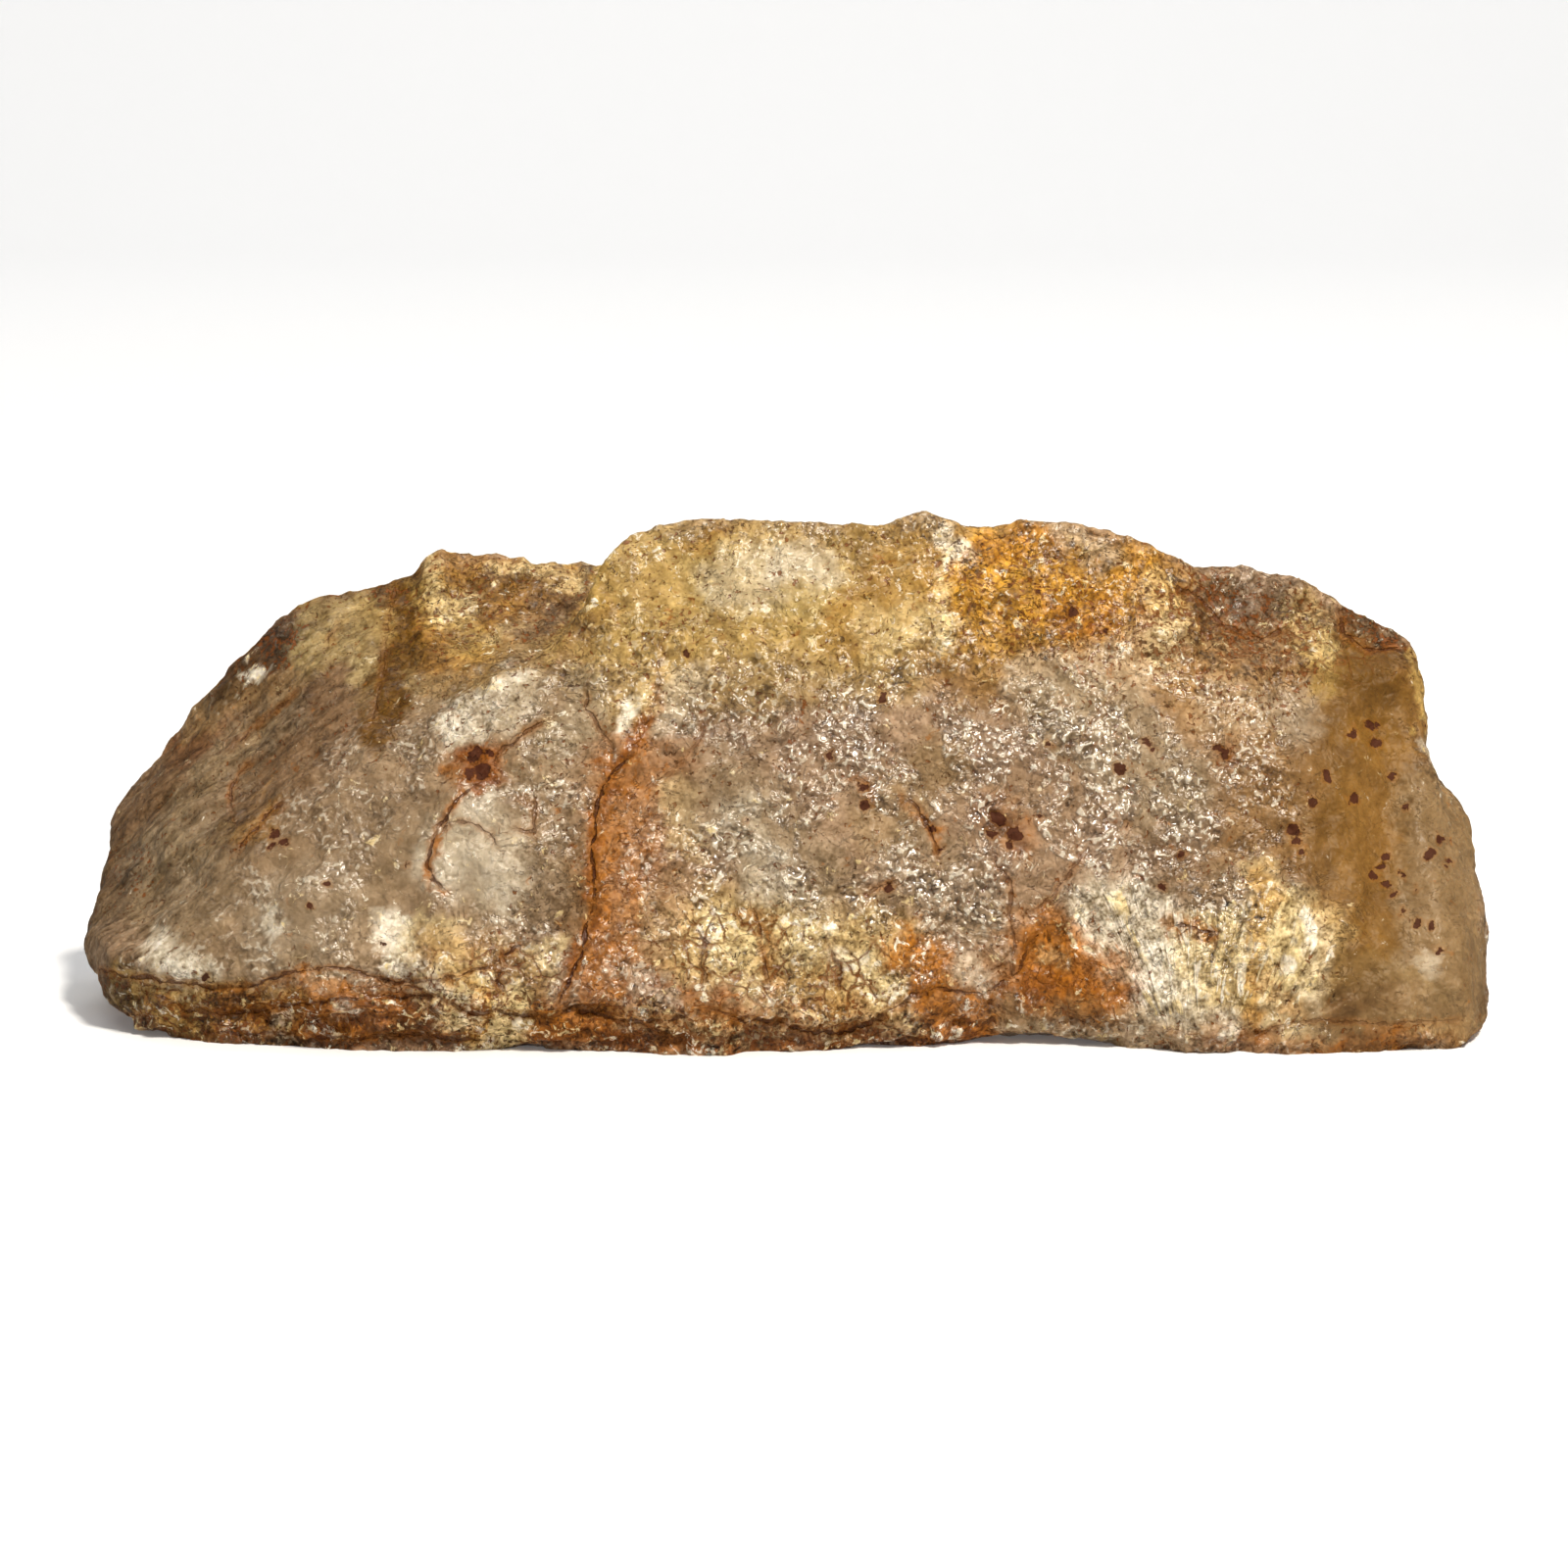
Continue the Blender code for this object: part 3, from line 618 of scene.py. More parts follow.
# %% Marks on the pale front and the left foot
MARKS += [
    ("milk", 0.15, 46, [(290, 930), (330, 920)]),
    ("milk", 0.30, 30, [(470, 890), (500, 900)]),
    ("milk", 0.55, 22, [(462, 745), (478, 730)]),
    ("milk", 0.55, 24, [(510, 720), (530, 700)]),
    ("chalk", 0.55, 12, [(505, 708), (526, 692)]),
    ("chalk", 0.45, 12, [(456, 742), (468, 728)]),
    ("milk", 0.6, 34, [(450, 870), (490, 850), (510, 890)]),
    ("mist", 0.7, 22, [(560, 760), (590, 740), (600, 700)]),
    ("lilac smoke", 0.55, 30, [(110, 970), (150, 975)]),
    ("milk", 0.7, 20, [(160, 960), (178, 980), (204, 992)]),
    ("chalk", 0.75, 8, [(163, 968), (180, 984), (204, 994)]),
    ("chalk", 0.75, 17, [(398, 950), (412, 972)]),
    ("cream", 0.5, 16, [(420, 960), (450, 950), (470, 970)]),
    ("chalk", 0.55, 7, [(272, 934), (286, 946)]),
    ("honey", 0.45, 16, [(588, 870), (596, 910), (580, 950)]),
    ("umber", 0.25, 26, [(560, 930), (540, 900)]),
    ("fawn", 0.4, 30, [(560, 690), (590, 650)]),
    ("rust", 0.6, 26, [(476, 786), (498, 788)]),
    ("brick", 0.98, 17, [(480, 768), (496, 776), (490, 796)]),
    ("rust", 0.5, 6, [(474, 812), (450, 842), (440, 866), (442, 892)]),
    ("orange", 0.45, 5, [(440, 860), (438, 884), (450, 902)]),
    ("straw", 0.65, 26, [(130, 1010), (170, 1026), (220, 1030), (290, 1036)]),
    ("honey", 0.45, 14, [(140, 1014), (180, 1030), (220, 1030)]),
    ("umber", 0.7, 10, [(104, 1000), (126, 1022), (140, 1034)]),
    ("umber", 0.5, 8, [(150, 1050), (220, 1054), (300, 1058)]),
    ("brick", 0.6, 12, [(240, 1018), (290, 1030), (320, 1040)]),
    ("oxblood", 0.6, 7, [(222, 1030), (262, 1028), (300, 1036)]),
    ("umber", 0.55, 8, [(330, 1046), (380, 1050), (436, 1052)]),
    ("orange", 0.4, 16, [(230, 1040), (290, 1044), (350, 1040)]),
    ("orange", 0.55, 17, [(305, 1004), (340, 1004), (366, 1018)]),
    ("brick", 0.6, 12, [(380, 1018), (412, 1022), (436, 1030)]),
    ("cream", 0.95, 36, [(462, 1010), (488, 1016), (505, 1036)]),
    ("chalk", 0.65, 16, [(450, 1000), (478, 1026)]),
    ("gold", 0.70, 13, [(470, 1004), (492, 1024), (486, 1044)]),
    ("umber", 0.6, 6, [(520, 990), (532, 1012), (548, 1034)]),
    ("umber", 0.5, 6, [(428, 1000), (440, 1024), (440, 1046)]),
    ("cream", 0.6, 18, [(528, 976), (552, 988), (560, 972)]),
    ("ochre", 0.5, 20, [(440, 970), (500, 975), (540, 1000)]),
    ("oxblood", 0.5, 7, [(536, 964), (512, 980), (508, 1002)]),
    ("chalk", 0.6, 7, [(350, 1022), (366, 1034)]),
    ("umber", 0.45, 8, [(190, 1054), (260, 1060), (340, 1064), (430, 1064), (500, 1064)]),
    ("tar", 0.45, 6, [(210, 1052), (260, 1058), (330, 1062), (420, 1062)]),
    ("chalk", 0.5, 5, [(286, 1046), (300, 1052)]),
]
print(len(MARKS), "marks so far")

# %% [markdown]
# ## The rusty vein and the crest
#
# Iron came down an old crack left of the middle and stained both its sides orange and brick. Along the crest it
# weathered to ochre and gold, with paler tufts between.

# %% Marks on the rusty vein and the crest
MARKS += [
    ("orange", 0.25, 24, [(648, 770), (632, 820), (628, 880), (636, 940), (620, 1000)]),
    ("rust", 0.45, 11, [(640, 790), (620, 830), (616, 880), (616, 940), (600, 1000)]),
    ("brick", 0.6, 7, [(668, 716), (650, 762), (624, 790), (612, 830), (606, 880), (606, 930), (594, 980)]),
    ("oxblood", 0.6, 5, [(668, 716), (654, 754), (642, 776)]),
    ("orange", 0.85, 10, [(674, 704), (656, 744), (640, 776)]),
    ("brick", 0.75, 6, [(668, 716), (654, 748), (640, 776)]),
    ("chalk", 0.8, 8, [(648, 708), (640, 726), (632, 744)]),
    ("cream", 0.5, 10, [(660, 700), (664, 722)]),
    ("milk", 0.45, 24, [(690, 740), (700, 700)]),
    ("cream", 0.4, 22, [(690, 820), (700, 860)]),
    ("lilac smoke", 0.5, 24, [(690, 900), (670, 960)]),
    ("cream", 0.6, 6, [(652, 925)]),
    ("brick", 0.45, 16, [(650, 1010), (700, 1020), (740, 1030)]),
    ("milk", 0.35, 16, [(640, 1000), (680, 1010)]),
    ("olive", 0.65, 36, [(730, 590), (820, 600)]),
    ("milk", 0.4, 30, [(740, 600), (800, 580)]),
    ("milk", 0.5, 16, [(800, 580), (830, 560), (840, 590)]),
    ("umber", 0.45, 8, [(664, 548), (700, 540), (738, 548)]),
    ("ochre", 0.5, 14, [(700, 560), (740, 545)]),
    ("umber", 0.3, 12, [(660, 640), (700, 640), (740, 650)]),
    ("ochre", 0.45, 30, [(860, 640), (920, 600), (930, 560)]),
    ("honey", 0.4, 14, [(840, 545), (880, 552), (900, 600)]),
    ("chalk", 0.75, 13, [(962, 546), (980, 556)]),
    ("cream", 0.6, 9, [(966, 570), (964, 610), (968, 660)]),
    ("cream", 0.4, 22, [(890, 640), (960, 640)]),
    ("milk", 0.45, 14, [(1080, 545), (1130, 560)]),
    ("orange", 0.45, 16, [(1000, 560), (1040, 548), (1070, 560)]),
    ("rust", 0.55, 15, [(1085, 618), (1104, 632)]),
    ("rust", 0.4, 14, [(1120, 600), (1140, 640), (1100, 650)]),
    ("honey", 0.5, 12, [(1040, 600), (1060, 570), (1140, 570)]),
    ("milk", 0.35, 30, [(1050, 690), (1150, 690), (1180, 660)]),
    ("cream", 0.45, 18, [(1180, 600), (1200, 630), (1190, 660)]),
]
print(len(MARKS), "marks so far")

# %% [markdown]
# ## The burnt hollow and the smoky middle
#
# The hollow under the right shoulder is nearly black with manganese. The middle is smoke over mist, with small
# rusty hooks and slashes.

# %% Marks on the burnt hollow and the smoky middle
MARKS += [
    ("umber", 0.6, 20, [(1240, 616), (1275, 630), (1305, 622)]),
    ("tar", 0.25, 24, [(1230, 606), (1270, 604), (1306, 612)]),
    ("smoke", 0.55, 22, [(1225, 664), (1270, 668), (1310, 660)]),
    ("tar", 0.3, 10, [(1250, 640), (1290, 646)]),
    ("cream", 0.7, 14, [(1342, 640), (1350, 668)]),
    ("straw", 0.5, 22, [(1330, 620), (1350, 690)]),
    ("honey", 0.5, 30, [(1370, 640), (1400, 660)]),
    ("umber", 0.75, 14, [(1376, 630), (1404, 644), (1430, 660)]),
    ("honey", 0.5, 20, [(1380, 690), (1420, 700)]),
    ("tar", 0.6, 7, [(1412, 658), (1428, 662)]),
    ("straw", 0.65, 8, [(1446, 668), (1450, 700), (1454, 740)]),
    ("chalk", 0.5, 6, [(1449, 762), (1456, 772)]),
    ("milk", 0.3, 30, [(1240, 720), (1320, 730)]),
    ("umber", 0.3, 50, [(740, 740), (800, 720), (860, 740)]),
    ("smoke", 0.4, 60, [(1000, 760), (1080, 740)]),
    ("mist", 0.65, 46, [(1080, 720), (1150, 760), (1200, 820)]),
    ("mist", 0.6, 50, [(740, 820), (790, 870), (820, 900)]),
    ("milk", 0.45, 26, [(760, 830), (790, 900)]),
    ("fawn", 0.5, 36, [(900, 840), (960, 780)]),
    ("mist", 0.4, 36, [(930, 880), (1000, 930)]),
    ("smoke", 0.7, 44, [(1200, 890), (1290, 850), (1300, 780)]),
    ("ochre", 0.25, 50, [(1250, 730), (1300, 800), (1290, 850)]),
    ("rust", 0.4, 22, [(1016, 832), (1040, 856)]),
    ("oxblood", 0.65, 9, [(1020, 836), (1034, 852)]),
    ("rust", 0.55, 7, [(880, 800), (883, 824)]),
    ("rust", 0.5, 6, [(926, 818), (944, 838), (955, 866)]),
    ("brick", 0.4, 9, [(1246, 768), (1252, 776)]),
]
print(len(MARKS), "marks so far")

# %% [markdown]
# ## The nuggets, the fan and the right foot
#
# Above the foot sit nuggets of cream clay with bright orange between them. To their right the plume opens like a
# fan, cream and milk with fawn ribs, and the right foot is brown and smooth.

# %% Marks on the nuggets, the fan and the right foot
MARKS += [
    ("cream", 0.75, 17, [(730, 950), (752, 970)]),
    ("cream", 0.7, 16, [(800, 950), (828, 960)]),
    ("chalk", 0.45, 15, [(860, 975), (880, 990)]),
    ("cream", 0.7, 20, [(880, 990), (900, 1020)]),
    ("rust", 0.6, 24, [(924, 970), (950, 985), (955, 1010)]),
    ("orange", 0.7, 18, [(926, 968), (946, 990)]),
    ("orange", 0.35, 34, [(960, 1000), (1020, 1010)]),
    ("rust", 0.5, 12, [(770, 938), (780, 970), (790, 1000)]),
    ("ochre", 0.5, 16, [(820, 1000), (850, 1025)]),
    ("milk", 0.5, 14, [(985, 985), (1000, 1005)]),
    ("orange", 0.90, 42, [(1070, 965), (1090, 1000), (1130, 1010)]),
    ("rust", 0.45, 26, [(1050, 990), (1090, 1000), (1120, 1010)]),
    ("brick", 0.5, 26, [(1050, 1000), (1086, 1008), (1110, 1010)]),
    ("brick", 0.45, 12, [(1120, 1010), (1150, 1030)]),
    ("milk", 0.5, 32, [(1130, 920), (1170, 940), (1150, 980)]),
    ("chalk", 0.35, 26, [(1180, 990), (1200, 1030)]),
    ("cream", 0.5, 22, [(1290, 900), (1300, 960), (1310, 1030)]),
    ("fawn", 0.30, 26, [(1240, 900), (1250, 960), (1255, 1020)]),
    ("chalk", 0.25, 14, [(1330, 940), (1350, 980), (1340, 1010)]),
    ("gold", 0.50, 14, [(1292, 900), (1284, 960), (1276, 1040)]),
    ("ochre", 0.35, 20, [(1350, 930), (1362, 990)]),
    ("orange", 0.35, 12, [(1300, 1000), (1320, 1030)]),
    ("straw", 0.4, 20, [(1240, 960), (1260, 1010)]),
    ("orange", 0.6, 8, [(1198, 946), (1226, 952), (1232, 962)]),
    ("orange", 0.45, 28, [(1082, 960), (1100, 984), (1122, 1008)]),
    ("cream", 0.30, 10, [(1064, 962), (1084, 978)]),
    ("milk", 0.4, 12, [(1030, 1046), (1100, 1058), (1180, 1064)]),
    ("fawn", 0.45, 24, [(1030, 1034), (1120, 1048), (1220, 1052)]),
    ("fawn", 0.5, 9, [(1040, 1062), (1140, 1070)]),
    ("honey", 0.45, 34, [(1390, 980), (1392, 1030)]),
    ("smoke", 0.40, 26, [(1370, 1044), (1440, 1030), (1500, 1036)]),
    ("brick", 0.4, 9, [(1260, 1062), (1340, 1056), (1420, 1060)]),
    ("chalk", 0.7, 5, [(1248, 1054)]),
    ("milk", 0.4, 10, [(1460, 985)]),
]
print(len(MARKS), "marks")

# %% [markdown]
# ## How a pigment lies
#
# Clear pigments sink in evenly, but clay, iron and soot stand in grains. So a mark of one of those does two things:
# it tints the ground softly, and it adds to how densely its grains lie there. The material strews the grains later,
# far finer than the points of the mesh could.

# %% Lay the pigments
GRAINY = {
    "cream": "clay", "chalk": "clay",
    "rust": "iron", "orange": "iron", "brick": "iron", "oxblood": "iron",
    "umber": "soot", "tar": "soot",
}
GRAIN_SHARE = 0.45  # how much of a grainy pigment stands in grains
SOFT_SHARE = 0.90  # how much of a grainy pigment also sinks in evenly


def lay_pigments(across, down):
    """The ground colour, the colour of the iron stains, and how dense each kind of grain lies."""
    ground = np.tile(PIGMENT["lilac smoke"], (len(across), 1))
    stain = np.tile(PIGMENT["rust"], (len(across), 1))
    density = {kind: np.zeros(len(across)) for kind in ("clay", "iron", "soot")}
    for name, thickness, width, spots in MARKS:
        cover = thickness * brush(across, down, spots, width)
        kind = GRAINY.get(name)
        for other in density:
            if other != kind:
                density[other] *= 1.0 - 0.8 * cover
        if kind:
            density[kind] += GRAIN_SHARE * cover * (1.0 - density[kind])
            if kind == "iron":
                stain += cover[:, None] * (PIGMENT[name] - stain)
            cover = cover * SOFT_SHARE
        ground += cover[:, None] * (PIGMENT[name] - ground)
    return ground, stain, density


print("pigments that stand in grains:", sorted(GRAINY))

# %% [markdown]
# ## The sides that the picture doesn't show
#
# Marks are laid as if thrown at the stone from the camera, and on faces that turn away they would smear into
# streaks. So they fade out there, and the stone's weathered coat takes over: the same pigments in clouds, more ochre
# towards the top, more rust and umber towards the foot, as on the front.

# %% The weathered coat
def coat_of_clouds(places):
    height = places[:, 2] / high.z
    cloud = 0.5 + 0.9 * lumps(places, 14.0, 31, 4)
    drift = 0.5 + 0.9 * lumps(places, 8.0, 32, 4)
    speck = 0.5 + 0.8 * lumps(places, 3.0, 33, 3)
    colour = np.tile(PIGMENT["smoke"], (len(places), 1))
    layers = [
        ("mist", 0.7 * smooth_rise(cloud, 0.45, 0.8)),
        ("ochre", 0.8 * smooth_rise(height + 0.5 * (drift - 0.5), 0.55, 0.95)),
        ("straw", 0.6 * smooth_rise(speck + 0.3 * height, 0.75, 1.0)),
        ("rust", 0.8 * (1.0 - smooth_rise(height + 0.3 * (cloud - 0.5), 0.05, 0.3))),
        ("umber", 0.7 * smooth_rise(drift, 0.62, 0.85)),
        ("cream", 0.5 * smooth_rise(lumps(places, 4.0, 34, 3), 0.3, 0.6)),
    ]
    for name, cover in layers:
        colour += cover[:, None] * (PIGMENT[name] - colour)
    density = {
        "clay": 0.05 + 0.25 * smooth_rise(cloud, 0.5, 0.9),
        "iron": 0.05 + 0.3 * (1.0 - smooth_rise(height, 0.05, 0.45)),
        "soot": 0.05 + 0.25 * smooth_rise(drift, 0.5, 0.9),
    }
    return colour, density


places, ways = read_points(stone.data)
across, down = pushed_spots(places, (15.0, 6.0, 11, 13), (9.0, 1.5, 12, 14))
facing = facing_viewer(places, ways)
shown = smooth_rise(facing, -0.05, 0.22)
pigment, coat_density = coat_of_clouds(places)
ground, stain, density = lay_pigments(across, down)
pigment += shown[:, None] * (ground - pigment)
for kind in density:
    density[kind] = coat_density[kind] + shown * (density[kind] - coat_density[kind])
print("points painted:", len(pigment))

# %% [markdown]
# ## Dots
#
# The right half is peppered with specks of manganese and red iron, from a pinprick to a millimetre. The biggest are
# placed one by one. As with the cracks, each point of the skin keeps its distance to the edge of the nearest dot,
# and the material draws a crisp rim where that distance passes through zero.

# %% The placed dots: across, down, radius
DOTS = [
    (901, 712, 5.5), (896, 706, 4.0), (880, 803, 5.0), (883, 822, 5.5), (762, 837, 4.0), (1143, 787, 7.0),
    (1170, 757, 5.0), (1176, 764, 3.8), (1249, 770, 6.0), (1240, 764, 4.0), (1020, 836, 8.0), (1036, 850, 8.5),
    (1028, 862, 6.5), (1012, 852, 5.0), (1046, 838, 4.5), (1060, 832, 4.0), (906, 905, 5.0), (960, 868, 4.5),
    (1150, 845, 5.0), (1381, 748, 6.0), (1399, 740, 6.5), (1404, 758, 6.0), (1354, 792, 5.5), (1340, 818, 6.0),
    (1320, 848, 6.5), (1322, 858, 6.0), (1330, 868, 4.5), (1381, 815, 5.5), (1420, 792, 5.5), (1434, 825, 4.5),
    (1462, 740, 7.0), (1415, 875, 5.0), (1409, 886, 4.5), (1403, 893, 4.5), (1430, 893, 4.5), (1416, 903, 5.0),
    (1422, 912, 4.5), (1432, 930, 5.0), (1445, 942, 5.0), (1457, 872, 5.0), (1470, 855, 5.0), (1461, 868, 4.5),
    (1468, 970, 5.5), (1460, 945, 4.5), (1478, 880, 4.0), (1444, 906, 4.0), (484, 772, 9.0), (494, 786, 9.0),
    (479, 790, 6.0), (500, 770, 5.0),
    (391, 963, 4.5), (335, 900, 4.5), (316, 924, 4.0), (415, 883, 4.0), (280, 852, 5.5), (290, 860, 5.0),
    (276, 864, 4.0), (210, 998, 4.0), (1095, 625, 5.0), (1130, 640, 4.0), (1060, 600, 4.0), (736, 650, 2.5),
    (700, 668, 2.5), (952, 846, 4.5), (1206, 872, 4.0), (1186, 905, 4.5), (1070, 760, 4.0), (846, 770, 4.0),
]
FAR_FROM_DOTS = 20.0  # pixels
DOT_SHIVER = (2.2, 0.9, 41, 42)


def gap_to_dots(places, facing):
    """Pixels from each point to the nearest dot's edge, less than nothing inside it."""
    across, down = pushed_spots(places, DOT_SHIVER)
    gap = np.full(len(across), FAR_FROM_DOTS)
    for x, y, radius in DOTS:
        gap = np.minimum(gap, np.hypot(across - x, down - y) - radius)
    return np.where(facing > 0.05, gap, FAR_FROM_DOTS)


dot_gap = gap_to_dots(places, facing)
crack_offset, crack_strength = measure_cracks(places, facing)
print("points inside a dot:", int((dot_gap < 0.0).sum()))

# %% [markdown]
# ## Where the skin is glassy
#
# A few more masks steer the material. Each is a level everywhere, and then strokes that pull it to other levels:
# level, width of the brush, and where it goes. The same places come back in several masks, so they get names.
#
# The first mask is gloss: fresh breaks in the middle are glassy, the weathered crest and the waxy valley are not.

# %% Gloss
LEFT_FACET = [(120, 940), (280, 720), (380, 640)]
LEFT_STREAKS = [(110, 940), (250, 740), (370, 640)]
PALE_FRONT = [(250, 900), (450, 850)]
LOW_FRONT = [(250, 900), (450, 880)]
CREST = [(650, 600), (780, 650), (930, 640)]
RIGHT_CREST = [(1000, 600), (1150, 640), (1300, 680)]
VALLEY = [(1390, 720), (1390, 1000)]
RIGHT_END = [(1470, 850), (1480, 1020)]
FOOT = [(150, 1040), (560, 1045), (1000, 1060)]


def mask(strokes, ground=0.0):
    value = np.full(len(across), ground)
    for level, width, spots in strokes:
        cover = brush(across, down, spots, width)
        value += cover * (level - value)
    return value


gloss = mask([
    (0.45, 95, PALE_FRONT),
    (0.20, 75, LEFT_FACET),
    (1.00, 80, [(900, 760), (1000, 820), (1200, 800)]),
    (0.95, 60, [(760, 880), (900, 900), (1100, 900)]),
    (0.80, 50, [(1270, 880), (1280, 960)]),
    (0.50, 40, [(1290, 740), (1310, 820)]),
    (0.60, 50, [(760, 740), (830, 780)]),
    (0.40, 40, [(660, 740), (690, 820), (660, 900)]),
    (0.15, 60, [(420, 640), (500, 620), (560, 620)]),
    (0.25, 60, [(650, 600), (780, 620), (930, 600), (1100, 600), (1300, 640)]),
    (0.00, 80, [(1390, 680), (1390, 1000)]),
    (0.05, 40, RIGHT_END),
    (0.50, 40, [(930, 980), (1090, 980)]),
    (0.05, 40, [(1080, 980), (1110, 1000)]),
    (0.35, 30, FOOT),
    (0.60, 30, [(130, 1010), (220, 1030)]),
], 0.45)
print("gloss on average:", round(float(gloss.mean()), 2))

# %% [markdown]
# ## Where grains lie by nature
#
# Even where no mark was laid, each part of the stone has its own thin scatter of grains: clay between the nuggets
# and in the fan, soot along the crest and the foot, iron where water ran.

# %% Ground levels of clay, soot and iron
clay_ground = mask([
    (0.00, 90, LEFT_FACET),
    (0.10, 60, [(430, 960), (560, 960)]),
    (0.12, 60, [(460, 740), (540, 700)]),
    (0.16, 60, [(650, 600), (780, 620), (930, 620)]),
    (0.14, 60, [(1020, 600), (1200, 640)]),
    (0.05, 90, [(760, 800), (1000, 800), (1200, 800)]),
    (0.25, 50, [(700, 960), (900, 980)]),
    (0.34, 60, [(1120, 950), (1200, 990), (1310, 960)]),
    (0.00, 60, VALLEY),
    (0.00, 40, RIGHT_END),
    (0.20, 30, FOOT),
], 0.08)
soot_ground = mask([
    (0.00, 90, LOW_FRONT),
    (0.08, 80, LEFT_STREAKS),
    (0.26, 55, RIGHT_CREST),
    (0.45, 30, [(1215, 610), (1260, 630), (1310, 625)]),
    (0.10, 55, CREST),
    (0.22, 40, [(430, 600), (560, 620)]),
    (0.08, 80, [(860, 800), (1200, 820)]),
    (0.00, 60, [(1120, 960), (1300, 970)]),
    (0.00, 60, VALLEY),
    (0.02, 40, RIGHT_END),
    (0.30, 30, FOOT),
], 0.1)
iron_ground = mask([
    (0.00, 90, LOW_FRONT),
    (0.05, 80, LEFT_STREAKS),
    (0.16, 55, RIGHT_CREST),
    (0.08, 55, CREST),
    (0.05, 80, [(700, 760), (640, 960)]),
    (0.00, 60, VALLEY),
    (0.18, 30, FOOT),
], 0.05)
print("clay, soot and iron on average:",
      [round(float(level.mean()), 2) for level in (clay_ground, soot_ground, iron_ground)])

# %% [markdown]
# ## Where the skin is busy, crazed, streaky or feathery
#
# The last masks say how strongly the colour mottles, where the cream clay is crazed by rusty joints, where the
# streaks of the left facet run, and where the plume's tufts fan out. The tufts need two more numbers at each point,
# the turn around the fan's root and the distance from it, so that a noise can be laid along the ribs.

# %% Busy, crazed, streaky and feathery
FAN_ROOT = (1225.0, 1150.0)  # where the fan's ribs would meet, in the picture

busy = mask([
    (0.35, 90, LEFT_FACET),
    (0.20, 95, PALE_FRONT),
    (0.60, 70, [(440, 740), (560, 700)]),
    (0.60, 50, [(560, 880), (560, 960)]),
    (0.40, 60, [(650, 600), (780, 620), (900, 600)]),
    (0.45, 110, [(760, 780), (1000, 800), (1250, 800)]),
    (1.00, 60, [(1020, 600), (1200, 620), (1400, 650)]),
    (0.90, 50, [(430, 620), (560, 620)]),
    (0.15, 55, VALLEY),
    (0.20, 40, RIGHT_END),
    (0.90, 50, [(720, 960), (900, 980)]),
    (1.00, 60, [(1130, 960), (1330, 960)]),
    (1.10, 30, FOOT),
], 0.7)
crackle = mask([
    (1.0, 40, [(720, 970), (880, 1000)]),
    (1.0, 34, [(420, 1010), (560, 1000)]),
    (0.6, 40, [(1180, 630), (1400, 660)]),
    (0.6, 30, [(150, 1035), (400, 1040)]),
    (0.5, 36, [(1060, 990), (1140, 1010)]),
    (0.35, 60, [(640, 900), (640, 1020)]),
])
streaky = mask([(1.0, 80, [(120, 940), (180, 840), (270, 730), (370, 650)]), (0.4, 50, [(440, 640), (540, 640)])])
feathery = mask([(1.0, 60, [(1150, 950), (1200, 990), (1300, 960)])])
from_root_across, from_root_down = (spots - root for spots, root in zip(picture_spots(places), FAN_ROOT))
fan_turn = np.arctan2(from_root_across, -from_root_down)
fan_reach = np.hypot(from_root_across, from_root_down)
print("points on the fan:", int((feathery > 0.5).sum()))

# %% [markdown]
# ## Keeping it all on the skin
#
# A material can't see these arrays, but it can read the mesh's attributes, numbers and colours kept at each point.
# The strokes fade out on the sides that the picture doesn't show, where a weathered coat has its own levels.

# %% Keep everything as attributes
HIDDEN_GLOSS = 0.20
HIDDEN_BUSY = 0.80
hidden = 1.0 - shown
numbers = {
    "crack_offset": crack_offset,
    "crack_strength": crack_strength,
    "dot_gap": dot_gap,
    "gloss": gloss * shown + HIDDEN_GLOSS * hidden,
    "busy": busy * shown + HIDDEN_BUSY * hidden,
    "clay": np.maximum(density["clay"], shown * clay_ground),
    "iron": np.maximum(density["iron"], shown * iron_ground),
    "soot": np.maximum(density["soot"], shown * soot_ground),
    "crackle": crackle * shown,
    "streaky": streaky * shown,
    "feathery": feathery * shown,
    "fan_turn": fan_turn,
    "fan_reach": fan_reach,
}
for name, values in numbers.items():
    store_number(stone.data, name, values)
store_colour(stone.data, "pigment", pigment)
store_colour(stone.data, "stain", stain)
print("attributes:", [layer.name for layer in stone.data.attributes])

# %% [markdown]
# ## Wiring a material in code
#
# A node material is a net of boxes and wires, and in code it is soon longer than it is clear. These short helpers
# keep it readable. They all add to the tree that is named `tree` at the time: `box` adds a node and plugs in what
# it is given, the next four do sums, `fade` turns a value into a cover between two limits, `spread` does so for a
# noise, whose values crowd round a half, and `tint` lays one of the pigments over a colour.

# %% Node helpers
NOISE_LOW, NOISE_HIGH = 0.30, 0.70  # nearly all of a noise's values lie between these


def box(kind, plugs=None, **settings):
    made = tree.nodes.new(kind)
    for name, value in settings.items():
        setattr(made, name, value)
    for socket, value in (plugs or {}).items():
        if isinstance(value, bpy.types.NodeSocket):
            tree.links.new(value, made.inputs[socket])
        else:
            made.inputs[socket].default_value = value
    return made


def sum_of(operation, first, second=0.0, third=0.0):
    return box("ShaderNodeMath", {0: first, 1: second, 2: third}, operation=operation).outputs[0]


def times(first, second):
    return sum_of("MULTIPLY", first, second)


def plus(first, second):
    return sum_of("ADD", first, second)


def times_plus(first, second, added):
    return sum_of("MULTIPLY_ADD", first, second, added)


def fade(value, start, end, low=0.0, high=1.0):
    plugs = {"Value": value, "From Min": start, "From Max": end, "To Min": low, "To Max": high}
    return box("ShaderNodeMapRange", plugs, interpolation_type="SMOOTHSTEP").outputs["Result"]


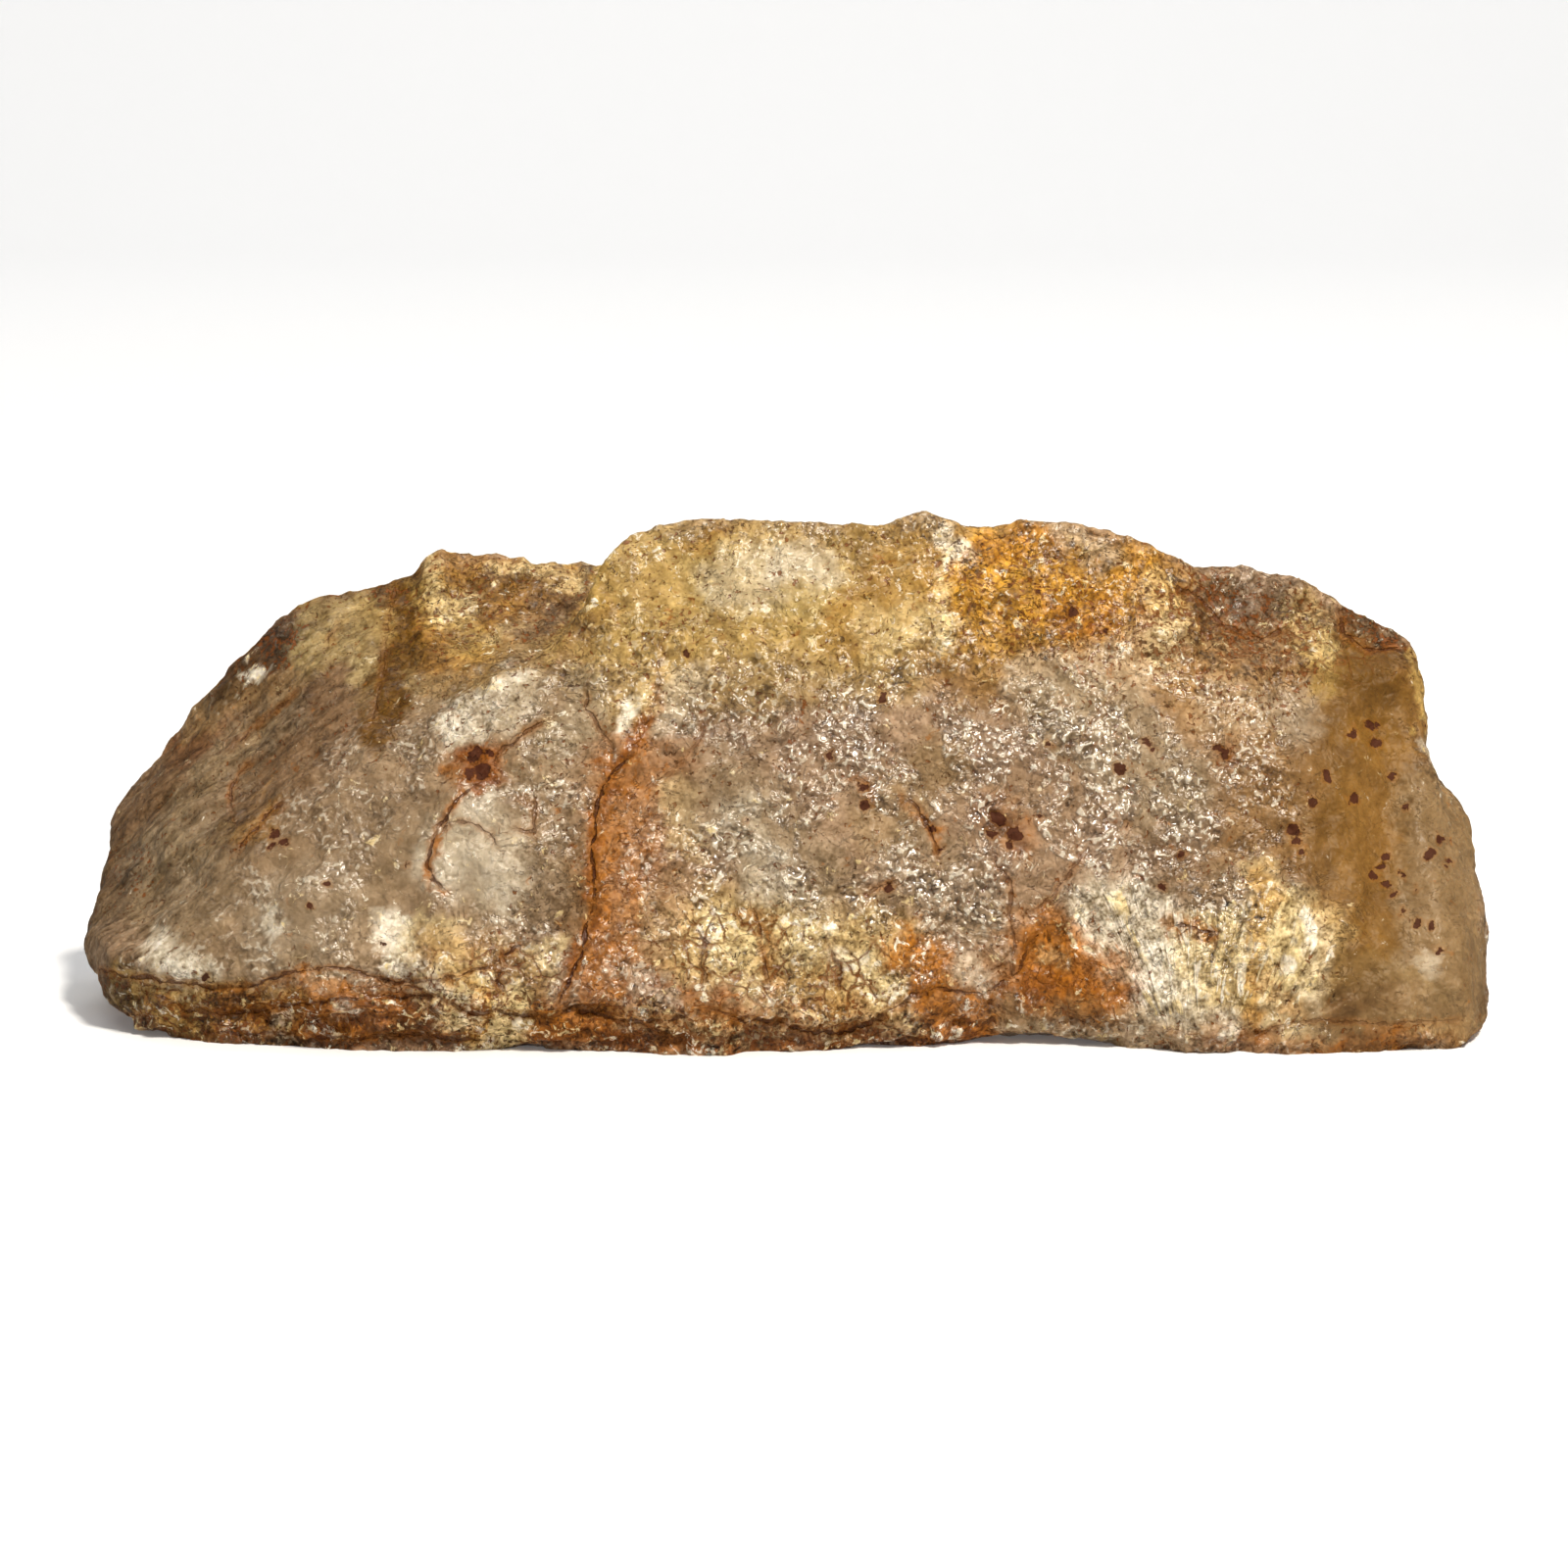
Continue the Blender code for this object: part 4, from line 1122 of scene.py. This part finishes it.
def spread(noise_value, low=0.0, high=1.0):
    return fade(noise_value, NOISE_LOW, NOISE_HIGH, low, high)


def lay_over(under, over, cover, mode="MIX"):
    return box("ShaderNodeMix", {0: cover, 6: under, 7: over}, data_type="RGBA", blend_type=mode).outputs[2]


def shade(name):
    return (*PIGMENT[name], 1.0)


def tint(under, name, cover, thickness):
    return lay_over(under, shade(name), times(cover, thickness))


def grey_of(red, green=None, blue=None):
    """A grey as bright as the first value, or a warm one where green and blue are given and lower."""
    plugs = {0: red, 1: red if green is None else green, 2: red if blue is None else blue}
    return box("ShaderNodeCombineColor", plugs).outputs[0]


def kept(name, output="Fac"):
    return box("ShaderNodeAttribute", attribute_name=name).outputs[output]


def cloud(places, scale, detail=6.0, rough=0.6, warp=0.0, output="Fac"):
    plugs = {"Vector": places, "Scale": scale, "Detail": detail, "Roughness": rough, "Distortion": warp}
    return box("ShaderNodeTexNoise", plugs).outputs[output]


def bent_by(places, bend, amounts):
    return box("ShaderNodeVectorMath", {0: bend, 1: amounts, 2: places}, operation="MULTIPLY_ADD").outputs[0]


def off_half(noise_value):
    """How far a noise is from a half. Where that is small, thin winding lines run."""
    return sum_of("ABSOLUTE", sum_of("SUBTRACT", noise_value, 0.5))


def set_values(shader, values):
    for name, value in values.items():
        shader.inputs[name].default_value = value


print("cream, as the shader takes it:", [round(float(part), 3) for part in shade("cream")])

# %% [markdown]
# ## The broken skin's material: the patterns
#
# Broken agate is nearly all pattern: clouds a few millimetres wide, a mottle in them, grit finer still, and the tiny
# scales of the break that flash. One big noise with much detail would be the quick way, but these patterns have to
# act apart: a scale is glossy, the mottle isn't. So each is a noise of its own, used again by colour, gloss and bump.
#
# The streaks of the left facet are a noise stretched along a turned axis. The plume's tufts are a noise laid on the
# turn and the distance around the fan's root, so that it spreads like a fan. Gloss comes in wet-looking patches.

# %% Patterns of the broken skin
RIDGE_SLOPE = -0.71  # the left facet's streaks climb 41 degrees to the right
RIDGE_STRETCH = (3.5, 1.0, 1.0)
FAN_TURN_LENGTH = 0.020  # metres of noise for each radian round the fan
FAN_REACH_LENGTH = 0.00002  # metres of noise for each pixel up the fan

broken = bpy.data.materials.new("broken_agate")
broken.use_nodes = True
tree = broken.node_tree
skin = tree.nodes["Principled BSDF"]
spots = box("ShaderNodeTexCoord").outputs["Object"]

clouds = cloud(spots, 230.0, 6.0, 0.58, 0.3)
mottle = cloud(spots, 900.0, 3.0, 0.55, 0.2)
grit = cloud(spots, 2600.0, 2.0, 0.5)
scales = cloud(spots, 1500.0, 0.0, 0.5, 0.6)
hollow = kept("hollow")
busy = kept("busy")

dot_rim = plus(kept("dot_gap"), times_plus(mottle, 16.0, -7.4))
wet = fade(cloud(spots, 170.0, 5.0, 0.60, 0.6), 0.43, 0.57)
wet = times(wet, kept("gloss"))
wet = times(wet, fade(dot_rim, 0.5, 4.0))

ridge_plugs = {"Vector": spots, "Rotation": (0.0, RIDGE_SLOPE, 0.0), "Scale": RIDGE_STRETCH}
along_ridge = box("ShaderNodeMapping", ridge_plugs, vector_type="TEXTURE").outputs[0]
streaks = cloud(along_ridge, 900.0, 5.0, 0.62, 0.3)
round_fan = times(kept("fan_turn"), FAN_TURN_LENGTH)
up_fan = times(kept("fan_reach"), FAN_REACH_LENGTH)
on_fan = box("ShaderNodeCombineXYZ", {"X": round_fan, "Y": up_fan}).outputs[0]
tufts = spread(cloud(on_fan, 650.0, 3.0, 0.60, 0.5))
print("patterns:", len(tree.nodes), "nodes")

# %% [markdown]
# ## Light and dark, painted glints and darker hollows
#
# The laid pigment is flat. Here it swings lighter and darker with the patterns, more where the skin is busy, and on
# the wet patches the low sides of the scales get painted shade. A dark spot on warm stone is also a warmer one, so
# green and blue are darkened a little more than red. The highest scales of the wet patches get painted glints, pale
# specks of highlight, and the hollows are darkened with umber.

# %% Light and dark
GREEN_FALL = 1.12
BLUE_FALL = 1.35

swing = times(spread(mottle, -0.46, 0.42), busy)
swing = times_plus(spread(grit, -0.30, 0.26), busy, swing)
swing = times_plus(spread(streaks, -0.40, 0.36), kept("streaky"), swing)
value = plus(swing, spread(clouds, 0.80, 1.20))
# painted shade: on the wet patches the low sides of the scales are darkened
shade_side = fade(scales, 0.28, 0.50, -0.38, 0.06)
value = times_plus(shade_side, fade(wet, 0.0, 0.6, 0.25, 1.0), value)
value = sum_of("MAXIMUM", value, 0.05)
grey = grey_of(value, sum_of("POWER", value, GREEN_FALL), sum_of("POWER", value, BLUE_FALL))
colour = lay_over(kept("pigment", "Color"), grey, 1.0, "MULTIPLY")

# painted highlight: the highest scales of the wet patches are laid pale, as glints
painted_glint = times(fade(scales, 0.60, 0.68), fade(wet, 0.1, 0.7, 0.0, 0.62))
colour = lay_over(colour, shade("chalk"), painted_glint)

# the hollows of the close relief are darkened with umber
hollow_darkening = fade(hollow, 0.5, 1.7)
colour = tint(colour, "umber", hollow_darkening, 0.45)
print("with light and dark:", len(tree.nodes), "nodes")

# %% [markdown]
# ## Iron, clay and soot
#
# Three kinds of grain lie in the stone, and all are made alike: a noise plus the density kept on the skin, shown
# only where the sum is high. So where the density is low only the noise's peaks show, as single grains, and where it
# is high they join. Iron and soot gather in hollows, clay stands on the heights.

# %% Iron, clay and soot
iron_noise = spread(cloud(spots, 620.0, 6.0, 0.66, 0.6))
iron_noise = times_plus(hollow, 0.10, iron_noise)
iron = fade(plus(iron_noise, kept("iron")), 0.92, 1.12)
stain = lay_over(kept("stain", "Color"), grey, 1.0, "MULTIPLY")
colour = lay_over(colour, stain, times(iron, 0.60))

clay_noise = spread(cloud(spots, 760.0, 6.0, 0.68, 0.8))
clay_noise = box("ShaderNodeMix", {0: kept("feathery"), 2: clay_noise, 3: tufts}).outputs[0]
clay_noise = times_plus(hollow, -0.12, clay_noise)
clay = fade(plus(clay_noise, kept("clay")), 0.95, 1.10)
clay_tone = lay_over(shade("cream"), shade("chalk"), fade(clouds, 0.42, 0.56))
clay_tone = lay_over(clay_tone, grey, 0.6, "MULTIPLY")
colour = lay_over(colour, clay_tone, times(clay, 0.85))

soot_noise = spread(cloud(spots, 1700.0, 3.0, 0.55, 0.5))
soot_noise = times_plus(hollow, 0.10, soot_noise)
speck = fade(plus(soot_noise, kept("soot")), 1.00, 1.10)
soot_tone = lay_over(shade("umber"), shade("brick"), fade(clouds, 0.35, 0.52))
colour = lay_over(colour, soot_tone, times(speck, 0.85))
print("with the grains:", len(tree.nodes), "nodes")

# %% [markdown]
# ## Threads, crazed clay, cracks and dots
#
# The thinnest marks come last, over everything. Dark threads wind where a noise passes through a half. The crazing
# of the clay is the edges of a cell pattern, bent by a noise. Each crack is drawn from its kept distance, a rusty hem
# and a dark hair in it, and each dot from its own, with a faint halo.

# %% Threads, joints, cracks and dots
ridged = off_half(cloud(spots, 330.0, 6.0, 0.60, 0.8))
thread = times(fade(ridged, 0.018, 0.004), fade(mottle, 0.44, 0.60))
thread = times(thread, busy)
colour = tint(colour, "umber", thread, 0.45)

crazed_spots = bent_by(spots, cloud(spots, 600.0, output="Color"), (0.0014, 0.0014, 0.0014))
crazed = box("ShaderNodeTexVoronoi", {"Vector": crazed_spots, "Scale": 420.0}, feature="DISTANCE_TO_EDGE")
joint = times(fade(crazed.outputs["Distance"], 0.09, 0.0), kept("crackle"))
joint = times(joint, fade(clouds, 0.40, 0.55))
colour = tint(colour, "brick", joint, 0.85)

off_line = sum_of("ABSOLUTE", kept("crack_offset"))
off_line = plus(off_line, times_plus(mottle, 9.0, -4.5))
strength = kept("crack_strength")
hem = times(fade(off_line, 7.0, 1.0), strength)
hair = times(fade(off_line, 2.0, 0.4), strength)
hair = times(hair, fade(clouds, 0.40, 0.50, 0.35, 1.0))
colour = tint(colour, "rust", hem, 0.65)
colour = tint(colour, "oxblood", hair, 0.90)

halo = fade(dot_rim, 4.0, 0.0)
dot = fade(dot_rim, 0.5, -0.9)
colour = tint(colour, "rust", halo, 0.25)
colour = tint(colour, "oxblood", dot, 0.95)
tree.links.new(colour, skin.inputs["Base Color"])
print("colours:", len(tree.nodes), "nodes")

# %% [markdown]
# ## Fine relief and gloss
#
# Relief finer than the mesh is a bump: a height that only bends the shading. It is a sum of the patterns above,
# scales and lumps up, joints, hairs, specks and threads down, so that colour and relief agree.
#
# The stone itself is duller than glass. The wet patches carry a clear coat, rough enough to spread a glint over
# several scales. The tint on the highlights keeps a cool veil off the dark parts.

# %% Relief and gloss of the broken skin
BUMP_HEIGHT = 0.0004  # metres
AGATE_IOR = 1.54
UNDER_SKIN = {  # light goes a little way into chalcedony, the red of it furthest
    "Subsurface Weight": 0.12,
    "Subsurface Radius": (1.0, 0.62, 0.35),
    "Subsurface Scale": 0.0025,
}

lump = cloud(spots, 480.0, 1.0, 0.4, 0.4)
height = times(scales, fade(wet, 0.0, 0.8, 0.35, 1.0))
height = times_plus(lump, 1.2, height)
height = times_plus(joint, -0.6, height)
height = times_plus(hair, -1.0, height)
height = times_plus(dot, -0.25, height)
height = times_plus(speck, -0.5, height)
height = times_plus(thread, -0.8, height)
height = times_plus(times(tufts, kept("feathery")), 0.9, height)
bump = box("ShaderNodeBump", {"Strength": 1.0, "Distance": BUMP_HEIGHT, "Height": height}).outputs["Normal"]
tree.links.new(bump, skin.inputs["Normal"])
tree.links.new(bump, skin.inputs["Coat Normal"])

roughness = fade(wet, 0.0, 0.8, 0.50, 0.24)
roughness = times_plus(sum_of("MAXIMUM", joint, dot), 0.25, roughness)
tree.links.new(roughness, skin.inputs["Roughness"])
tree.links.new(wet, skin.inputs["Coat Weight"])
set_values(skin, {"IOR": AGATE_IOR, "Coat IOR": 1.8, "Coat Roughness": 0.30, "Specular IOR Level": 0.25,
                  "Specular Tint": (1.0, 0.82, 0.60, 1.0), **UNDER_SKIN})
stone.data.materials.append(broken)
print("broken skin:", len(tree.nodes), "nodes")

# %% [markdown]
# ## The sawn face
#
# Behind, the saw has opened the stone. Here the plumes show: cream feathers with a fiery core that stand on the
# seam at the foot and reach up into smoky, faintly banded grey. They could be drawn one by one as curves, but a
# feather's edge is finer than any drawn curve. So a feather is a cloudy noise, stretched upwards and bent by another
# noise, and kept only where it is dense. A slow drift lets some plumes reach higher than others.

# %% Colours and polish of the sawn face
sawn_skin = bpy.data.materials.new("sawn_agate")
sawn_skin.use_nodes = True
tree = sawn_skin.node_tree
cut = tree.nodes["Principled BSDF"]
spots = box("ShaderNodeTexCoord").outputs["Object"]
height_up = box("ShaderNodeSeparateXYZ", {0: spots}).outputs["Z"]

bent = bent_by(spots, cloud(spots, 90.0, 4.0, output="Color"), (0.012, 0.0, 0.006))
tall = box("ShaderNodeMapping", {"Vector": bent, "Scale": (1.0, 1.0, 0.35)}).outputs[0]
feathers = cloud(tall, 190.0, 9.0, 0.72, 1.6)
tufts = cloud(tall, 420.0, 9.0, 0.75, 2.2)
haze = cloud(spots, 45.0, 6.0, 0.6, 0.6)
grains_cut = cloud(spots, 2400.0, 4.0, 0.6)

colour = lay_over(shade("smoke"), shade("mist"), fade(haze, 0.35, 0.65))
rings = fade(sum_of("SINE", times(haze, 110.0)), -1.0, 1.0, 0.84, 1.10)
colour = lay_over(colour, grey_of(rings), 1.0, "MULTIPLY")
top_rind = fade(times_plus(haze, 0.016, height_up), 0.036, 0.052)
colour = tint(colour, "straw", top_rind, 0.8)
drift = cloud(spots, 38.0, 2.0, 0.5, 0.4)
reach = times_plus(height_up, -9.0, -0.10)
reach = times_plus(drift, 1.30, reach)
plume = fade(plus(feathers, reach), 0.74, 0.92)
lace = fade(tufts, 0.36, 0.52, 0.45, 1.0)
colour = lay_over(colour, shade("cream"), times(plume, lace))
core = fade(plus(tufts, reach), 0.86, 1.04)
fire = lay_over(shade("gold"), shade("rust"), fade(feathers, 0.40, 0.60))
fire_cover = times(core, fade(feathers, 0.38, 0.62, 1.0, 0.55))
colour = lay_over(colour, fire, fire_cover)
stem = times(fade(off_half(tufts), 0.030, 0.006), plume)
colour = tint(colour, "brick", stem, 0.60)
seam = fade(times_plus(tufts, 0.012, height_up), 0.014, 0.006)
colour = tint(colour, "brick", seam, 0.9)
dark = fade(tufts, 0.68, 0.74)
colour = tint(colour, "oxblood", dark, 0.6)
colour = lay_over(colour, grey_of(times_plus(grains_cut, 0.35, 0.82)), 1.0, "MULTIPLY")
tree.links.new(colour, cut.inputs["Base Color"])
print("sawn colours:", len(tree.nodes), "nodes")

# %% [markdown]
# ## The saw's marks
#
# A diamond blade leaves faint arcs, parts of big circles round its axle. They are rings of a wave texture whose
# middle lies off the stone, and they are so shallow that only the shine shows them.

# %% Arcs and polish of the sawn face
around_axle = box("ShaderNodeMapping", {"Vector": spots, "Location": (0.05, 0.0, 0.16)}).outputs[0]
arc_plugs = {"Vector": around_axle, "Scale": 260.0, "Distortion": 0.6, "Detail": 2.0}
arcs = box("ShaderNodeTexWave", arc_plugs, wave_type="RINGS", rings_direction="Y").outputs["Fac"]
bump = box("ShaderNodeBump", {"Strength": 0.12, "Distance": 0.0001, "Height": arcs})
tree.links.new(bump.outputs["Normal"], cut.inputs["Normal"])
tree.links.new(fade(grains_cut, 0.3, 0.7, 0.22, 0.36), cut.inputs["Roughness"])
set_values(cut, {"IOR": AGATE_IOR, "Coat Weight": 0.3, "Coat Roughness": 0.15, **UNDER_SKIN})
stone.data.materials.append(sawn_skin)
print("sawn face:", len(tree.nodes), "nodes")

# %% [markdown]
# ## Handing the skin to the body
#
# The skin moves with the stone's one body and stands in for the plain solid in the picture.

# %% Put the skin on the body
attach(stone, "root")
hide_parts("agate_stone")
print("dressed:", stone.name, "with", [material.name for material in stone.data.materials])

# %% [markdown]
# ## The table
#
# The stone stands on a white sweep: a table that curves up into the wall, so that no edge shows behind it. A
# flat grid is the table, and its back edge is spun up a quarter turn and then drawn up as the wall.

# %% The white sweep
SWEEP_HALF_WIDTH = 3.0
SWEEP_FRONT_Y = -2.0
SWEEP_WALL_Y = 2.2
SWEEP_BEND = 0.8
SWEEP_HEIGHT = 3.0
WHITE = (1.0, 1.0, 1.0, 1.0)

sweep_bm = bmesh.new()
start = bmesh.ops.create_grid(sweep_bm, x_segments=1, y_segments=1, size=SWEEP_HALF_WIDTH)["verts"]
for vert in start:
    vert.co.y = SWEEP_FRONT_Y if vert.co.y < 0.0 else SWEEP_WALL_Y - SWEEP_BEND
back_edge = [edge for edge in sweep_bm.edges if all(vert.co.y > 0.0 for vert in edge.verts)]
bmesh.ops.spin(sweep_bm, geom=back_edge, cent=(0.0, SWEEP_WALL_Y - SWEEP_BEND, SWEEP_BEND), axis=(1.0, 0.0, 0.0),
               angle=math.radians(90.0), steps=24)
top_edge = [edge for edge in sweep_bm.edges if all(vert.co.z > SWEEP_BEND * 0.999 for vert in edge.verts)]
risen = bmesh.ops.extrude_edge_only(sweep_bm, edges=top_edge)["geom"]
bmesh.ops.translate(sweep_bm, vec=(0.0, 0.0, SWEEP_HEIGHT - SWEEP_BEND),
                    verts=[item for item in risen if isinstance(item, bmesh.types.BMVert)])
bmesh.ops.recalc_face_normals(sweep_bm, faces=sweep_bm.faces)
for face in sweep_bm.faces:
    face.smooth = True
sweep = object_from(sweep_bm, "white_sweep")
paper = bpy.data.materials.new("white_paper")
paper.use_nodes = True
set_values(paper.node_tree.nodes["Principled BSDF"], {
    "Base Color": (0.9, 0.9, 0.9, 1.0), "Roughness": 0.9, "Specular IOR Level": 0.1,
    "Emission Color": WHITE, "Emission Strength": 0.08})
sweep.data.materials.append(paper)
sweep.visible_glossy = False  # the white table would otherwise veil the stone's dark colours
print("sweep:", len(sweep.data.polygons), "faces")

# %% [markdown]
# ## The light
#
# Sparkle needs a small, strong light, because a big soft one would wash every scale alike. So the key is a small
# warm box at the upper right. A wide one overhead makes the soft shadow at the foot, a weak one opens the left side,
# and a wash keeps the wall white.

# %% The lights
def soft_light(name, place, size, watts, colour=(1.0, 1.0, 1.0)):
    data = bpy.data.lights.new(name, "AREA")
    data.shape = "RECTANGLE"
    data.size, data.size_y = size
    data.energy = watts
    data.color = colour
    lamp = bpy.data.objects.new(name, data)
    lamp.location = place
    lamp.rotation_euler = (CAMERA_AIM - Vector(place)).to_track_quat("-Z", "Y").to_euler()
    bpy.context.scene.collection.objects.link(lamp)
    return lamp


soft_light("key_box", (0.35, -0.50, 0.95), (0.16, 0.16), 14.0, (1.0, 0.95, 0.87))
soft_light("overhead", (0.0, 0.1, 1.3), (1.6, 1.2), 4.0)
soft_light("left_fill", (-0.9, -0.7, 0.45), (0.7, 0.7), 0.8)
wash = soft_light("backdrop_wash", (0.0, 0.6, 1.9), (2.4, 0.5), 30.0)
wash.rotation_euler = (math.radians(60.0), 0.0, 0.0)

world = bpy.data.worlds.new("white_room")
world.use_nodes = True
set_values(world.node_tree.nodes["Background"], {"Color": WHITE, "Strength": 0.12})
bpy.context.scene.world = world
film = bpy.context.scene.view_settings
film.view_transform = "Standard"
film.look = "None"
film.exposure = 0.0
film.gamma = 1.0
